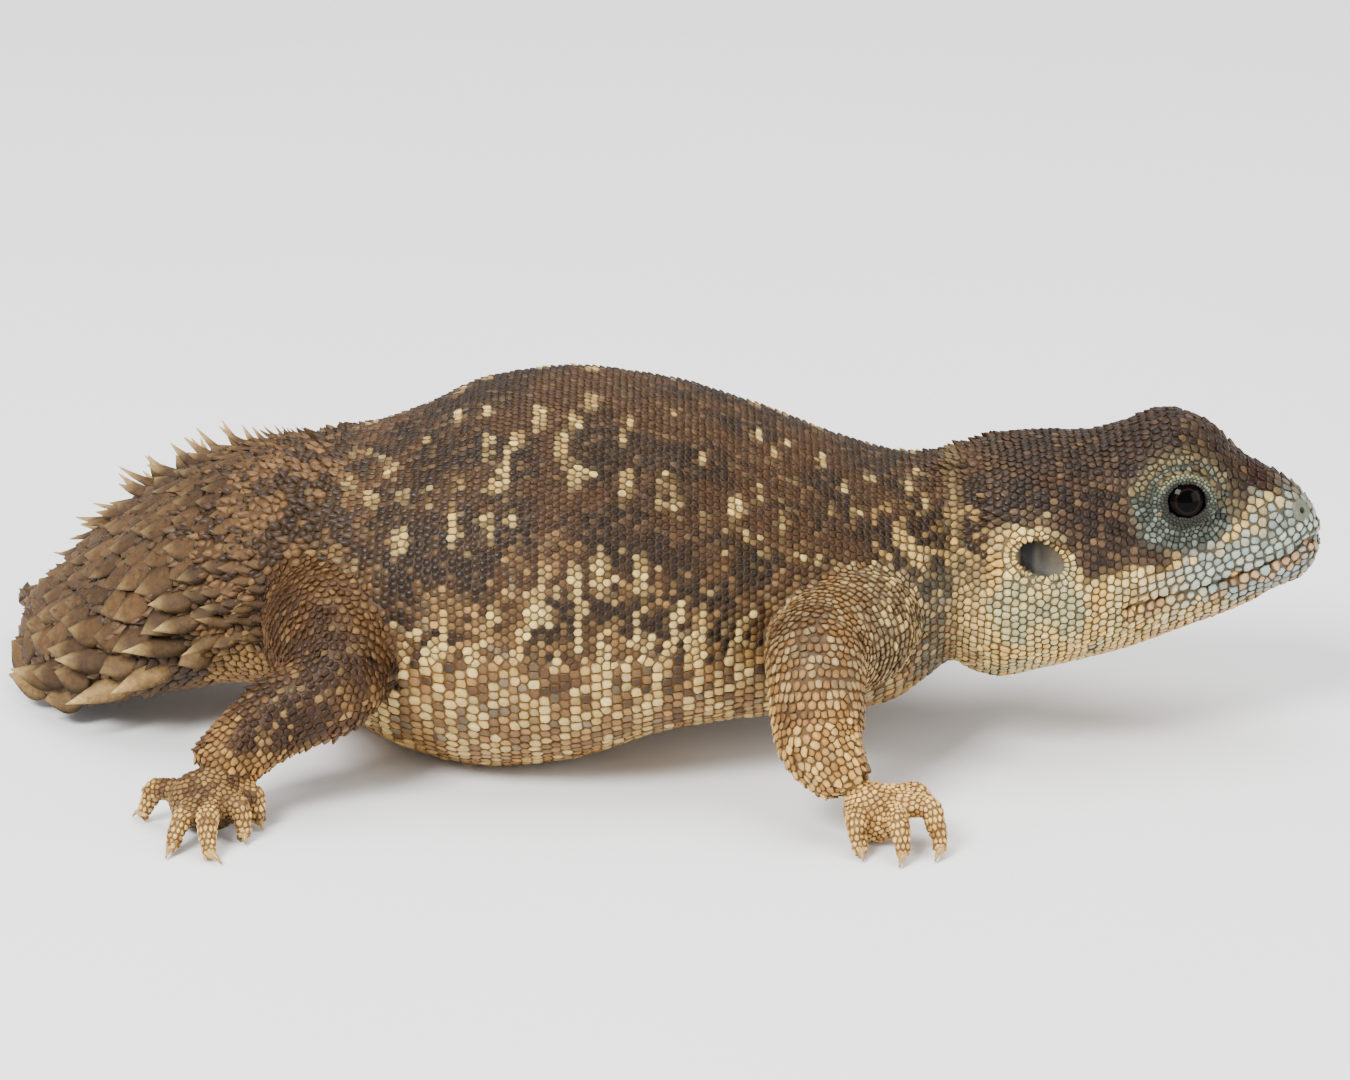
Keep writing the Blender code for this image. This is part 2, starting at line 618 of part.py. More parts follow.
def tail_plates(surface, start, end, helper):
    """Rings of plates across the top of the shield, each ring half a plate out of step with the last."""
    chance = random.Random(7)
    plates = []
    rings = int((end - start) / WHORL_STEP)
    for k in range(rings):
        place = start + (k + 0.5) * (end - start) / rings
        angles = np.linspace(-WHORL_SPAN, WHORL_SPAN, 160)
        line = surface.points(np.full(160, place), angles)
        run = np.concatenate([[0], np.cumsum(np.linalg.norm(np.diff(line, axis=0), axis=1))])
        count = max(3, round(run[-1] / PLATE_WIDTH))
        for j in range(count + k % 2):
            share = (j + (0.0 if k % 2 else 0.5)) / count
            angle = float(np.interp(share * run[-1], run, angles))
            spot = np.array([place]), np.array([angle])
            base, out = Vector(surface.points(*spot)[0]), Vector(surface.normal(*spot)[0])
            ahead = Vector(surface.points(spot[0] + 1e-4, spot[1])[0]) - base
            edge = edge_share(math.degrees(angle))
            ahead = (ahead.normalized() + out * EDGE_SPLAY * edge).normalized()
            out = (out + Vector((0, 0, EDGE_RAISE * edge))).normalized()
            out = (out - ahead * out.dot(ahead)).normalized()
            # Every other plate or so stands up as a slender spine, the more the nearer to an edge.
            stand = chance.uniform(0.8, 1.05) if chance.random() < 0.5 else chance.uniform(0.05, 0.4)
            stand *= 0.2 + 0.8 * edge
            length = PLATE_LENGTH + (SPINE_LENGTH - PLATE_LENGTH) * stand
            lift = PLATE_LIFT + (SPINE_LIFT - PLATE_LIFT) * stand
            keel = PLATE_KEEL + (SPINE_KEEL - PLATE_KEEL) * stand
            narrow = min(1.0, 0.5 + (end - place) / (10 * MM))
            plates.append(
                plate(base, ahead, out, PLATE_WIDTH * (1.18 - 0.5 * stand), length * narrow, keel,
                      lift * narrow, helper)
            )
    return plates


def floor_block(helper):
    return block((-0.1, -0.1, -FLOOR_DEPTH), (0.1, 0.1, 0), helper)


def whole_body(grown, helper):
    """A fresh copy of the enlarged body, to cut a leg with."""
    return body_length(grown, 0.004, grown.at[-1] - 0.002, 60, 36, helper)


def make_leg(leg, word, grown, collection, helper, material):
    """One leg's upper length, lower length and foot, each its own node and clear of the next."""
    upper = limb_length(leg, 0.0, leg.cut, 8, helper)
    lower = limb_length(leg, leg.cut, 1.0, 7, helper)
    x, y, z, half_length, half_width, half_height = (v * MM for v in leg.palm)
    foot = ellipsoid((x, y, z), (half_length, half_width, half_height), helper, segments=12, rings=8)
    toes = [
        tube(np.array(toe) * MM, np.array(TOE_RADII) * MM, 7, 6, helper) for toe in leg.toes
    ]
    combined(foot, toes, "UNION")
    combined(foot, [floor_block(helper), swollen(lower, GAP, helper)], "DIFFERENCE")
    combined(lower, [whole_body(grown, helper), swollen(upper, GAP, helper)], "DIFFERENCE")
    combined(upper, [whole_body(grown, helper)], "DIFFERENCE")
    finish(upper, f"{leg.name}leg_upper_{word}", collection, helper, material)
    finish(lower, f"{leg.name}leg_lower_{word}", collection, helper, material)
    finish(foot, f"{leg.name}foot_{word}", collection, helper, material)


def main():
    for old in list(bpy.data.objects):
        bpy.data.objects.remove(old)
    agama = bpy.data.collections.new("shield_tailed_agama")
    helper = bpy.data.collections.new("cutters")
    bpy.context.scene.collection.children.link(agama)
    bpy.context.scene.collection.children.link(helper)

    surface, grown = BodySurface(), BodySurface(grow=GAP)
    cuts = [surface.place_of(x) for x in (HEAD_FROM, NECK_FROM, TORSO_FROM, SHIELD_FROM, TIP_FROM)]
    half = GAP / 2
    skin = matte("scaly_skin", SKIN_BROWN, 0.6)
    horn = matte("horny_plates", SHIELD_BROWN, 0.5)
    pieces = [
        ("head", 0.0, cuts[0] - half, 27, 32),
        ("neck", cuts[0] + half, cuts[1] - half, 5, 32),
        ("torso", cuts[1] + half, cuts[2] - half, 20, 32),
        ("tail_base", cuts[2] + half, cuts[3] - half, 4, 30),
        ("tail_shield", cuts[3] + half, cuts[4] - half, 11, 30),
        ("tail_tip", cuts[4] + half, surface.at[-1], 6, 8),
    ]
    for name, start, end, rings, around in pieces:
        piece = body_length(surface, start, end, rings, around, helper)
        if name == "head":
            dress_head(piece, surface, helper)
        elif name == "tail_shield":
            combined(piece, tail_plates(surface, start + 0.9 * MM, end, helper), "UNION")
            tip = body_length(grown, cuts[4] - half, grown.at[-1], 6, 8, helper)
            combined(piece, [floor_block(helper), tip], "DIFFERENCE")
        else:
            combined(piece, [floor_block(helper)], "DIFFERENCE")
        finish(piece, name, agama, helper, horn if name.startswith("tail_") else skin)

    black = matte("eye_black", EYE_BLACK, 0.1)
    for side, word in ((RIGHT, "right"), (LEFT, "left")):
        place = Vector((EYE_PLACE.x, EYE_PLACE.y * side, EYE_PLACE.z))
        eye = ellipsoid(place, (EYE_RADIUS,) * 3, helper, segments=16, rings=9)
        finish(eye, f"eye_{word}", agama, helper, black)

    make_leg(FORELEG, "right", grown, agama, helper, skin)
    make_leg(HINDLEG, "right", grown, agama, helper, skin)
    make_leg(turned(mirrored(FORELEG), -6, 0.0), "left", grown, agama, helper, skin)
    make_leg(turned(mirrored(HINDLEG), -25, 3.5), "left", grown, agama, helper, skin)


if __name__ == "__main__":
    main()
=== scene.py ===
"""A shield-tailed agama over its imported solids: one skin, a coat of solid scales, plates, claws and eyes.

Lengths are in metres once multiplied by MM. +X runs to the snout, the animal's right side faces -Y.
"""

import logging
import math
from dataclasses import dataclass, field
from functools import cached_property
from typing import Callable, ClassVar, Optional, Sequence

import bpy
import numpy as np
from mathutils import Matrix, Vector
from mathutils.bvhtree import BVHTree
from mathutils.kdtree import KDTree

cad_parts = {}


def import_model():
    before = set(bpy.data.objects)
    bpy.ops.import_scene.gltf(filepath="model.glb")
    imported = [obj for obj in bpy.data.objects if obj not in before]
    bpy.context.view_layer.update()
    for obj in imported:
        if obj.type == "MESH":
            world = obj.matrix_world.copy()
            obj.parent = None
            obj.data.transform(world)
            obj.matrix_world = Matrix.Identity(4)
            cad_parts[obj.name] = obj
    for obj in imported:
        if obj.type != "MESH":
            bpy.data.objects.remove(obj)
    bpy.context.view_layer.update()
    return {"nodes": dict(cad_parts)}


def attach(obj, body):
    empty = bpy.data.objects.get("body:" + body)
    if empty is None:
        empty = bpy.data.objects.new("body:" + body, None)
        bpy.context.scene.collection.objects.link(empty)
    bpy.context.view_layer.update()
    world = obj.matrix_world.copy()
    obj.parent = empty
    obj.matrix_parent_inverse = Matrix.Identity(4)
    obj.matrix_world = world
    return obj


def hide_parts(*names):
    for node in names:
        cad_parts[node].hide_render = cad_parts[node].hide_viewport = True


log = logging.getLogger("agama")
MM = 0.001
RIGHT, LEFT = 1, -1
Array = np.ndarray

LUMINANCE = (0.2126, 0.7152, 0.0722)  # what each linear channel adds to a colour's brightness
# How a picked colour is carried into the render: richer and darker, as the lights here are bright.
RICHNESS, DEPTH, BRIGHTNESS, LEAST_LIGHT = 1.24, 1.08, 0.68, 0.0015
GRAIN = 0.16 * MM  # the horn's fine relief, drawn coarser than the real one so that it shows
LATTICE, LATTICE_SHIFT = 32, 1000.0  # the noise's cells each way, and a shift that keeps them positive
TUBE_STEPS = 240
GOLDEN_ANGLE = 2.399963  # radians
BODY_LONG, BODY_ROUND = 0.62, 0.485  # the body's length and half girth on the unwrap
PATCH, PATCH_MOST = 0.0014, 0.0015  # half size of a scale's patch on the unwrap, and its limit
LEAN, TALL_SPREAD = 0.06, (0.8, 1.2)  # how unevenly scales of a coat lean and stand
REACH_MOST = 0.68  # the farthest that a scale reaches, as a share of its spacing
OPEN_SKIN, FILL_APART = 0.8, 0.82  # where a gap is filled, and how close fillers stand, in spacings


@dataclass(frozen=True)
class Palette:
    """The animal's colours, as sRGB hex."""

    back_dark: str = "#21160e"
    back: str = "#452f1d"
    back_light: str = "#6e5943"
    cream: str = "#ecd5a0"
    cream_low: str = "#c9a873"
    flank_dark: str = "#84684a"
    flank: str = "#b8966a"
    flank_grey: str = "#7d7c6c"
    belly: str = "#d9b074"
    belly_brown: str = "#a87a43"
    arm: str = "#b08a5c"
    arm_pale: str = "#e9c892"
    arm_dark: str = "#5a4431"
    shin: str = "#523d2b"
    shin_dark: str = "#34251a"
    foot: str = "#eec88d"
    crown: str = "#3d2c1e"
    crown_dark: str = "#261b13"
    temple: str = "#584636"
    cheek: str = "#e8d19f"
    cheek_warm: str = "#e6c184"
    cheek_green: str = "#b1b491"
    brow: str = "#807355"
    lid: str = "#747b70"
    lid_dark: str = "#464c42"
    lid_edge: str = "#2a2a22"
    lip: str = "#a2b0aa"
    lip_pale: str = "#c8ccbc"
    chin: str = "#a86a3c"
    chin_pale: str = "#d3b083"
    snout: str = "#757362"
    fold: str = "#474a42"
    drum: str = "#6f6658"
    rump: str = "#7c6044"
    plate: str = "#6f573e"
    plate_dark: str = "#3d2e22"
    plate_pale: str = "#a48a66"
    plate_tip: str = "#dcc090"
    under: str = "#9c7b50"
    claw: str = "#cfae78"
    claw_dark: str = "#2e1a0f"
    pupil: str = "#030202"
    iris_ring: str = "#281b13"
    iris: str = "#0b0908"
    brow_spot: str = "#2e1409"
    # painted shade: the near black of the nostril's opening
    nostril: str = "#0d0806"
    # painted shade: the near black of the ear opening's deeper front
    ear_dark: str = "#060403"
    # painted shade: the near-black skin of the eye's hollow, round the eyeball
    socket: str = "#0c0907"


@dataclass(frozen=True)
class Finish:
    """How a surface takes the light, with its mottling's size in millimetres.

    Attributes:
        rough: mean roughness.
        rough_vary: how far the roughness swings with the noise.
        mottle: how far the colour swings with the noise.
        mottle_mm: size of the noise's blotches.
        bump: height of the fine relief, in millimetres.
        coat: weight of a clear glossy layer.
        gloss: strength of the surface's own reflection.
    """

    rough: float = 0.5
    rough_vary: float = 0.12
    mottle: float = 0.22
    mottle_mm: float = 0.5
    bump: float = 0.02
    coat: float = 0.0
    gloss: float = 0.3


def hexed(code: str) -> Array:
    """Turns an sRGB hex colour such as "#a0b0c0" into linear light, richer and darker for the render."""
    srgb = np.array([int(code[i : i + 2], 16) for i in (1, 3, 5)]) / 255
    linear = np.where(srgb <= 0.04045, srgb / 12.92, ((srgb + 0.055) / 1.055) ** 2.4)
    grey = linear @ LUMINANCE
    return BRIGHTNESS * np.maximum(grey + (linear - grey) * RICHNESS, LEAST_LIGHT) ** DEPTH


def ease(low: float, high: float, value: Array) -> Array:
    """A smooth step from 0 at low to 1 at high."""
    t = np.clip((np.asarray(value, float) - low) / (high - low), 0, 1)
    return t * t * (3 - 2 * t)


def mixed(a: Array, b: Array, share: Array) -> Array:
    """Blends colours a and b by a share for each row."""
    return a + (b - a) * np.asarray(share)[..., None]


def unit(v: Array) -> Array:
    """Vectors scaled to length one."""
    return v / np.maximum(np.linalg.norm(v, axis=-1, keepdims=True), 1e-12)


def run_along(points: Array) -> Array:
    """The distance run along a line of points, at each of them."""
    return np.concatenate([[0], np.cumsum(np.linalg.norm(np.diff(points, axis=0), axis=1))])


def read_rows(where: Array, at: Array, rows: Array) -> Array:
    """Rows given at places at, read in straight lines between them at where."""
    return np.stack([np.interp(where, at, column) for column in rows.T], -1)


def upright(out: Array) -> Array:
    """The direction nearest to straight up that is square to out."""
    return unit(np.array((0, 0, 1.0)) - out * out[2])


def even_turns(count: int) -> Array:
    """Even turns round the circle, from 0."""
    return np.linspace(0, 2 * np.pi, count, endpoint=False)


def cloud(points: Array, size: float, seed: int) -> Array:
    """Smooth seeded noise from 0 to 1 over a lattice of random values, size metres a step."""
    lattice = np.random.default_rng(seed).random((LATTICE,) * 3)
    q = points / size + LATTICE_SHIFT
    cell = np.floor(q).astype(int)
    t = q - cell
    t = t * t * (3 - 2 * t)
    total = np.zeros(points.shape[:-1])
    for corner in np.ndindex(2, 2, 2):
        at = tuple(((cell + corner) % LATTICE)[..., k] for k in range(3))
        weight = np.prod(np.where(np.array(corner) == 1, t, 1 - t), axis=-1)
        total += lattice[at] * weight
    return total


def smooth_rows(at: Array, rows: Array, where: Array) -> Array:
    """Monotone cubic interpolation of rows given at places at, read at where."""
    at, rows, where = (np.asarray(v, float) for v in (at, rows, where))
    step = np.diff(at)[:, None]
    slope = np.diff(rows, axis=0) / step
    same = slope[:-1] * slope[1:] > 0
    wa, wb = 2 * step[1:] + step[:-1], step[1:] + 2 * step[:-1]
    parts = np.where(same, wa / np.where(same, slope[:-1], 1) + wb / np.where(same, slope[1:], 1), 1)
    inner = np.where(same, (wa + wb) / parts, 0.0)
    tangent = np.vstack([slope[:1], inner, slope[-1:]])
    k = np.clip(np.searchsorted(at, where, side="right") - 1, 0, len(at) - 2)
    width = (at[k + 1] - at[k])[:, None]
    t = (where - at[k])[:, None] / width
    return (
        rows[k] * (1 + 2 * t) * (1 - t) ** 2
        + tangent[k] * width * t * (1 - t) ** 2
        + rows[k + 1] * t * t * (3 - 2 * t)
        + tangent[k + 1] * width * t * t * (t - 1)
    )


# Cross-sections along the body, in millimetres and degrees, as in the solids: x, y, z, half width,
# rise, drop, upper and lower exponents, yaw, pitch and roll.
STATIONS = (
    (61.5, 0, 15.9, 0.5, 0.5, 0.6, 2.1, 2.1, 0, 0, 0),
    (61.0, 0, 15.6, 1.9, 1.9, 2.2, 2.1, 2.1, 0, 0, 0),
    (59.8, 0, 15.5, 3.0, 3.8, 3.4, 2.3, 2.3, 0, 0, 0),
    (58.4, 0, 15.4, 3.9, 5.0, 3.7, 2.4, 2.4, 0, 0, 0),
    (55.5, 0, 15.3, 5.0, 6.7, 5.1, 2.4, 2.4, 0, 0, 0),
    (52.5, 0, 15.2, 6.2, 9.3, 6.1, 2.4, 2.4, 0, 0, 0),
    (49.5, 0, 15.1, 7.3, 10.1, 7.0, 2.4, 2.4, 0, 0, 0),
    (46.5, 0, 14.9, 8.7, 9.4, 7.8, 2.3, 2.3, 0, 0, 0),
    (43.5, 0, 14.6, 9.9, 8.9, 8.2, 2.2, 2.2, 0, 0, 0),
    (40.0, 0, 14.3, 10.6, 9.15, 8.6, 2.2, 2.2, 0, 0, 0),
    (37.2, 0, 13.9, 10.6, 9.3, 9.0, 2.2, 2.2, 0, 0, 0),
    (34.9, 0, 13.5, 10.0, 9.05, 8.3, 2.1, 2.1, 0, 0, 0),
    (33.0, 0, 13.1, 9.3, 8.7, 7.0, 2.1, 2.1, 0, 0, 0),
    (31.2, 0, 12.7, 10.2, 9.0, 7.9, 2.1, 2.1, 0, 0, 0),
    (28.5, 0, 12.4, 11.8, 9.4, 9.2, 2.1, 2.3, 0, 0, 0),
    (25.0, 0, 12.5, 13.4, 10.2, 9.8, 2.1, 2.4, 0, 0, 0),
    (18.0, 0, 12.6, 16.0, 12.7, 9.9, 2.1, 2.4, 0, 0, 0),
    (11.0, 0, 12.8, 18.2, 14.5, 10.9, 2.1, 2.4, 0, 0, 0),
    (4.0, 0, 12.8, 19.0, 15.3, 13.3, 2.1, 2.4, 0, 0, 0),
    (-2.0, 0, 12.7, 18.4, 14.7, 14.0, 2.1, 2.4, 0, 0, 0),
    (-8.0, 0.5, 12.4, 16.6, 12.4, 12.8, 2.1, 2.3, 3, 0, 0),
    (-13.0, 1.5, 12.2, 14.2, 10.8, 10.2, 2.1, 2.2, 6, 2, 2),
    (-17.5, 3.0, 11.9, 12.0, 9.9, 8.2, 2.1, 2.1, 12, 6, 6),
    (-21.0, 4.6, 11.0, 11.4, 9.3, 7.2, 2.1, 2.1, 18, 12, 12),
    (-25.0, 6.8, 9.5, 12.4, 7.8, 5.6, 2.0, 2.1, 24, 18, 18),
    (-29.0, 9.4, 7.9, 13.0, 6.2, 3.8, 1.9, 2.1, 28, 20, 22),
    (-32.5, 11.9, 6.5, 12.0, 4.8, 2.9, 1.9, 2.1, 31, 20, 24),
    (-35.2, 14.0, 5.4, 9.2, 3.5, 2.2, 1.9, 2.1, 34, 18, 22),
    (-37.0, 15.6, 4.8, 5.4, 2.5, 1.7, 2.0, 2.1, 38, 16, 18),
    (-38.2, 17.0, 4.4, 2.2, 1.6, 1.3, 2.0, 2.0, 46, 14, 12),
    (-39.9, 19.4, 3.8, 1.3, 1.1, 0.9, 2.0, 2.0, 54, 12, 8),
    (-41.2, 22.0, 3.3, 0.4, 0.4, 0.4, 2.0, 2.0, 60, 10, 4),
)

# Soft bumps and hollows on both sides, in millimetres: x, y, z, radius, height.
SWELLINGS = {
    "brow": (50.2, -3.2, 24.8, 3.2, 0.35),
    "lids": (50.8, -6.6, 20.2, 2.8, 0.5),
    "hollow before the eye": (55.2, -4.6, 19.8, 2.2, -0.5),
    "hollow behind the eye": (46.0, -8.4, 20.4, 2.6, -0.5),
    "nostril mound": (59.6, -2.6, 18.3, 1.2, 0.35),
    "jowl": (38.2, -10.2, 10.6, 4.4, 0.7),
    "cheek": (44.5, -9.4, 11.8, 4.0, 0.4),
    "nape fold": (32.9, -1.5, 22.0, 1.5, 0.7),
}

SKIN_DEPTH = 0.22 * MM  # how far the skin lies inside the solids
SHIELD_X, TIP_X = -21.6, -38.2  # where the tail's shield begins and ends, in millimetres

EYE_RADIUS = 2.08 * MM
EYE_PLACE = np.array((50.4, -5.2, 20.1)) * MM
EYE_OUT = unit(np.array((0.08, -0.98, 0.18)))
LID_RING, LID_THICKNESS, LID_OUT = 1.62 * MM, 0.4 * MM, 1.5 * MM
LID_STRETCH = 1.16  # the lids' opening is this much longer than it is high
EYE_HOLLOW, EYE_FLOOR = 1.2 * MM, 0.9 * MM  # the socket's radius, and how far out its floor lies
MOUTH_SLIT, NOSTRIL_BARE, EYE_BARE = 0.2, 0.8, 1.3 * MM  # half widths that no scale grows in
BROW_FOLD = ((46.0, 20.7), (48.0, 22.6), (50.1, 23.3), (52.6, 22.3), (55.0, 19.6))
MOUTH_LINE = (
    (45.6, 12.5), (48.7, 12.95), (51.7, 13.2), (54.3, 13.8), (56.5, 14.3), (58.4, 14.95), (59.8, 15.5),
)
MOUTH_DEEP, MOUTH_WIDE = 0.5 * MM, 0.28  # the groove's depth, and its half width in millimetres
EAR_SPOT, EAR_HALF = (39.3, 16.8), (1.8 * MM, 1.4 * MM)
EAR_DEPTH, EAR_LEAN = 1.25 * MM, 0.18
NOSTRIL_SPOT = (59.5, 18.3)
TOE_RADII = np.array((1.1, 0.9, 0.62, 0.16))
BROW_RADII = np.array((0.3, 0.5, 0.55, 0.5, 0.3))
CLAW_RADII = np.array((0.4, 0.33, 0.2, 0.05))
NOSTRIL_RADII = np.array((0.02, 0.2, 0.25, 0.32, 0.6, 0.8, 0.88, 0.9)) * MM
NOSTRIL_HEIGHTS = np.array((0.02, 0.04, 0.12, 0.17, 0.17, 0.13, 0.05, -0.25)) * MM

# Rows of scales, in millimetres: the lids' radius and size, the ears' share of the opening and
# size, and the lips' height over the mouth line, length and width.
LID_RINGS = (
    (1.4, 0.22), (1.62, 0.25), (1.88, 0.29), (2.19, 0.34), (2.55, 0.39), (2.96, 0.45), (3.43, 0.5),
)
EAR_RINGS = ((1.14, 0.4), (1.42, 0.5))
LIP_ROWS = ((0.5, 0.92, 0.66), (1.14, 0.84, 0.6), (1.72, 0.8, 0.56), (-0.5, 0.88, 0.62), (-1.1, 0.8, 0.58))

# Where colours part on the head's side: the dark temple's lower edge and the crown's, as x and z.
TEMPLE_LINE = (
    (33, 18.2), (36, 18.6), (39.4, 18.8), (41.3, 17.4), (43.2, 14.6), (46.2, 15.8), (49.0, 15.7),
    (51.7, 16.3), (55.6, 19.4), (61, 19.8),
)
CROWN_LINE = ((35, 20.0), (46, 21.8), (50, 23.6), (55, 20.6), (58, 19.6), (61.5, 18.2))


def mirror_y(points: Array, side: int) -> Array:
    """Points of the right side, moved to the given side."""
    return np.asarray(points, float) * np.array((1, side, 1))


def on_line(line: Sequence[tuple], x: Array, past: Optional[float] = None) -> Array:
    """A line's height at each x, and the height past beyond its last point."""
    return np.interp(x, *zip(*line), right=past)


def mouth_height(x: Array, past: float = 15.8) -> Array:
    """The mouth line's height at each x, in millimetres."""
    return on_line(MOUTH_LINE, x, past)


class BodyForm:
    """The body from snout to tail tip as one surface of place along it and angle round it.

    With c = cos(angle) and s = sin(angle), a point of a cross-section is W*sgn(s)*|s|^(2/e) to the
    side and H*sgn(c)*|c|^(2/e) up, where H and e differ above and below the widest line. Each
    swelling then pushes the point outwards by h*exp(-(d/r)^2).
    """

    def __init__(self, grow: float = 0.0) -> None:
        """Sets up the sections, each enlarged by grow metres."""
        rows = np.array(STATIONS, float)
        rows[:, :6] *= MM
        rows[:, 8:] = np.radians(rows[:, 8:])
        rows[:, 3:6] = np.maximum(rows[:, 3:6] + grow, 0.1 * MM)
        self.rows = rows
        self.at = run_along(rows[:, :3])
        self.fine = np.linspace(0, self.at[-1], 2500)
        self.fine_rows = smooth_rows(self.at, rows, self.fine)

    def place_of(self, x: Array) -> Array:
        """The places whose centres have these x values, in metres."""
        return np.interp(-np.asarray(x), -self.fine_rows[:, 0], self.fine)

    def section(self, place: Array) -> Array:
        """The section's numbers at each place."""
        return read_rows(place, self.fine, self.fine_rows)

    def axes(self, r: Array) -> tuple[Array, Array]:
        """The side and crown directions of each section."""
        yaw, pitch, roll = r[..., 8], r[..., 9], r[..., 10]
        right = np.stack([-np.sin(yaw), -np.cos(yaw), np.zeros_like(yaw)], -1)
        up = np.stack([-np.cos(yaw) * np.sin(pitch), np.sin(yaw) * np.sin(pitch), np.cos(pitch)], -1)
        c, s = np.cos(roll)[..., None], np.sin(roll)[..., None]
        return right * c - up * s, up * c + right * s

    def bare(self, place: Array, angle: Array) -> Array:
        """Points of the plain loft."""
        r = self.section(place)
        cos, sin = np.cos(angle), np.sin(angle)
        power = 2 / np.where(cos >= 0, r[..., 6], r[..., 7])
        reach = np.where(cos >= 0, r[..., 4], r[..., 5])
        across = r[..., 3] * np.sign(sin) * abs(sin) ** power
        above = reach * np.sign(cos) * abs(cos) ** power
        side, crown = self.axes(r)
        return r[..., :3] + side * across[..., None] + crown * above[..., None]

    def normal(self, place: Array, angle: Array) -> Array:
        """Outward normals of the plain loft."""
        step = 2e-5
        ahead, behind = np.minimum(place + step, self.at[-1]), np.maximum(place - step, 0)
        along = self.bare(ahead, angle) - self.bare(behind, angle)
        around = self.bare(place, angle + 1e-3) - self.bare(place, angle - 1e-3)
        return unit(np.cross(along, around))

    def points(self, place: Array, angle: Array) -> Array:
        """Points of the finished surface."""
        place, angle = np.broadcast_arrays(np.asarray(place, float), np.asarray(angle, float))
        p, n = self.bare(place, angle), self.normal(place, angle)
        push = np.zeros(p.shape[:-1])
        for x, y, z, radius, height in SWELLINGS.values():
            for side in (RIGHT, LEFT):
                away = np.linalg.norm(p / MM - (x, y * side, z), axis=-1)
                push += height * MM * np.exp(-((away / radius) ** 2))
        return p + n * push[..., None]

    def at_height(self, x: Array, z: Array, side: int) -> tuple[Array, Array]:
        """Surface points with these x and heights in millimetres on one side, and their normals."""
        place = self.place_of(np.asarray(x) * MM)
        angles = np.linspace(0.02, np.pi - 0.02, 200)
        heights = self.points(place[:, None], angles[None, :])[..., 2]
        angle = side * np.array([np.interp(-h * MM, -row, angles) for h, row in zip(z, heights)])
        return self.points(place, angle), self.normal(place, angle)

    def unwrapped(self, points: Array) -> Array:
        """Where points near the body lie on its own unwrap: along the body, then round it."""
        place = self.place_of(points[:, 0])
        r = self.section(place)
        side, crown = self.axes(r)
        away = points - r[:, :3]
        angle = np.arctan2((away * side).sum(1), (away * crown).sum(1))
        return np.stack([0.01 + BODY_LONG * place / self.at[-1], 0.5 + BODY_ROUND * angle / np.pi], -1)

    def degrees(self, points: Array) -> Array:
        """How far round from the back's midline points lie, from 0 to 180 degrees."""
        return abs(self.unwrapped(points)[:, 1] - 0.5) / BODY_ROUND * 180


@dataclass(frozen=True)
class Tube:
    """A tube c(t) + r(t)*(a*cos(turn) + b*sin(turn)) along a smooth path, as of a limb or a toe.

    Attributes:
        path: centres, in metres.
        radii: the radius at each centre.
        tile: corner and size on the coat's unwrap.
    """

    path: Array
    radii: Array
    tile: tuple = (0, 0, 1, 1)

    @cached_property
    def fine(self) -> tuple[Array, Array]:
        """Closely spaced rows of centre and radius, and the direction at each."""
        at = run_along(self.path)
        fine = np.linspace(0, at[-1], TUBE_STEPS + 1)
        rows = smooth_rows(at, np.hstack([self.path, self.radii[:, None]]), fine)
        return rows, unit(np.gradient(rows[:, :3], axis=0))

    @property
    def length(self) -> float:
        """Length of the path in metres."""
        return float(np.linalg.norm(np.diff(self.fine[0][:, :3], axis=0), axis=1).sum())

    def girth(self, share: float) -> float:
        """Distance round the tube at a share of its length."""
        return 2 * np.pi * float(self.read(share, self.fine[0])[3])

    @staticmethod
    def read(share: Array, rows: Array) -> Array:
        """Closely spaced rows, read at a share of the length."""
        return read_rows(share * TUBE_STEPS, np.arange(TUBE_STEPS + 1), rows)

    @staticmethod
    def axes(run: Array) -> tuple[Array, Array]:
        """Two directions square to the way the tube runs."""
        across = unit(np.cross(run, (0.55, 0.0, 0.83)))
        return across, np.cross(across, run)

    def points(
        self, share: Array, turn: Array, shrink: float = 0.0, flat: float = 1.0
    ) -> tuple[Array, Array]:
        """Points on the tube, or inside it by shrink, and the direction it runs in at each."""
        share, turn = np.asarray(share, float), np.asarray(turn, float)
        rows, ahead = self.fine
        spot, run = self.read(share, rows), unit(self.read(share, ahead))
        across, upward = self.axes(run)
        ring = across * np.cos(turn)[..., None] + upward * (flat * np.sin(turn))[..., None]
        return spot[..., :3] + ring * np.maximum(spot[..., 3:] - shrink, 0.08 * MM), run

    def placed(self, points: Array) -> tuple[Array, Array]:
        """How far along and how far round the tube points near it lie."""
        rows, ahead = self.fine
        near = np.linalg.norm(points[:, None] - rows[None, :, :3], axis=2).argmin(1)
        across, upward = self.axes(ahead[near])
        away = points - rows[near, :3]
        return near / TUBE_STEPS, np.arctan2((away * upward).sum(1), (away * across).sum(1))

    def unwrapped(self, points: Array) -> Array:
        """Places on the coat's unwrap."""
        share, turn = self.placed(points)
        u, v, wide, high = self.tile
        return np.stack([u + wide * share, v + high * (turn / (2 * np.pi) % 1.0)], -1)

    def lie(self, points: Array) -> Array:
        """The way scales point at each of these points."""
        return self.fine[1][(self.placed(points)[0] * TUBE_STEPS).astype(int)]


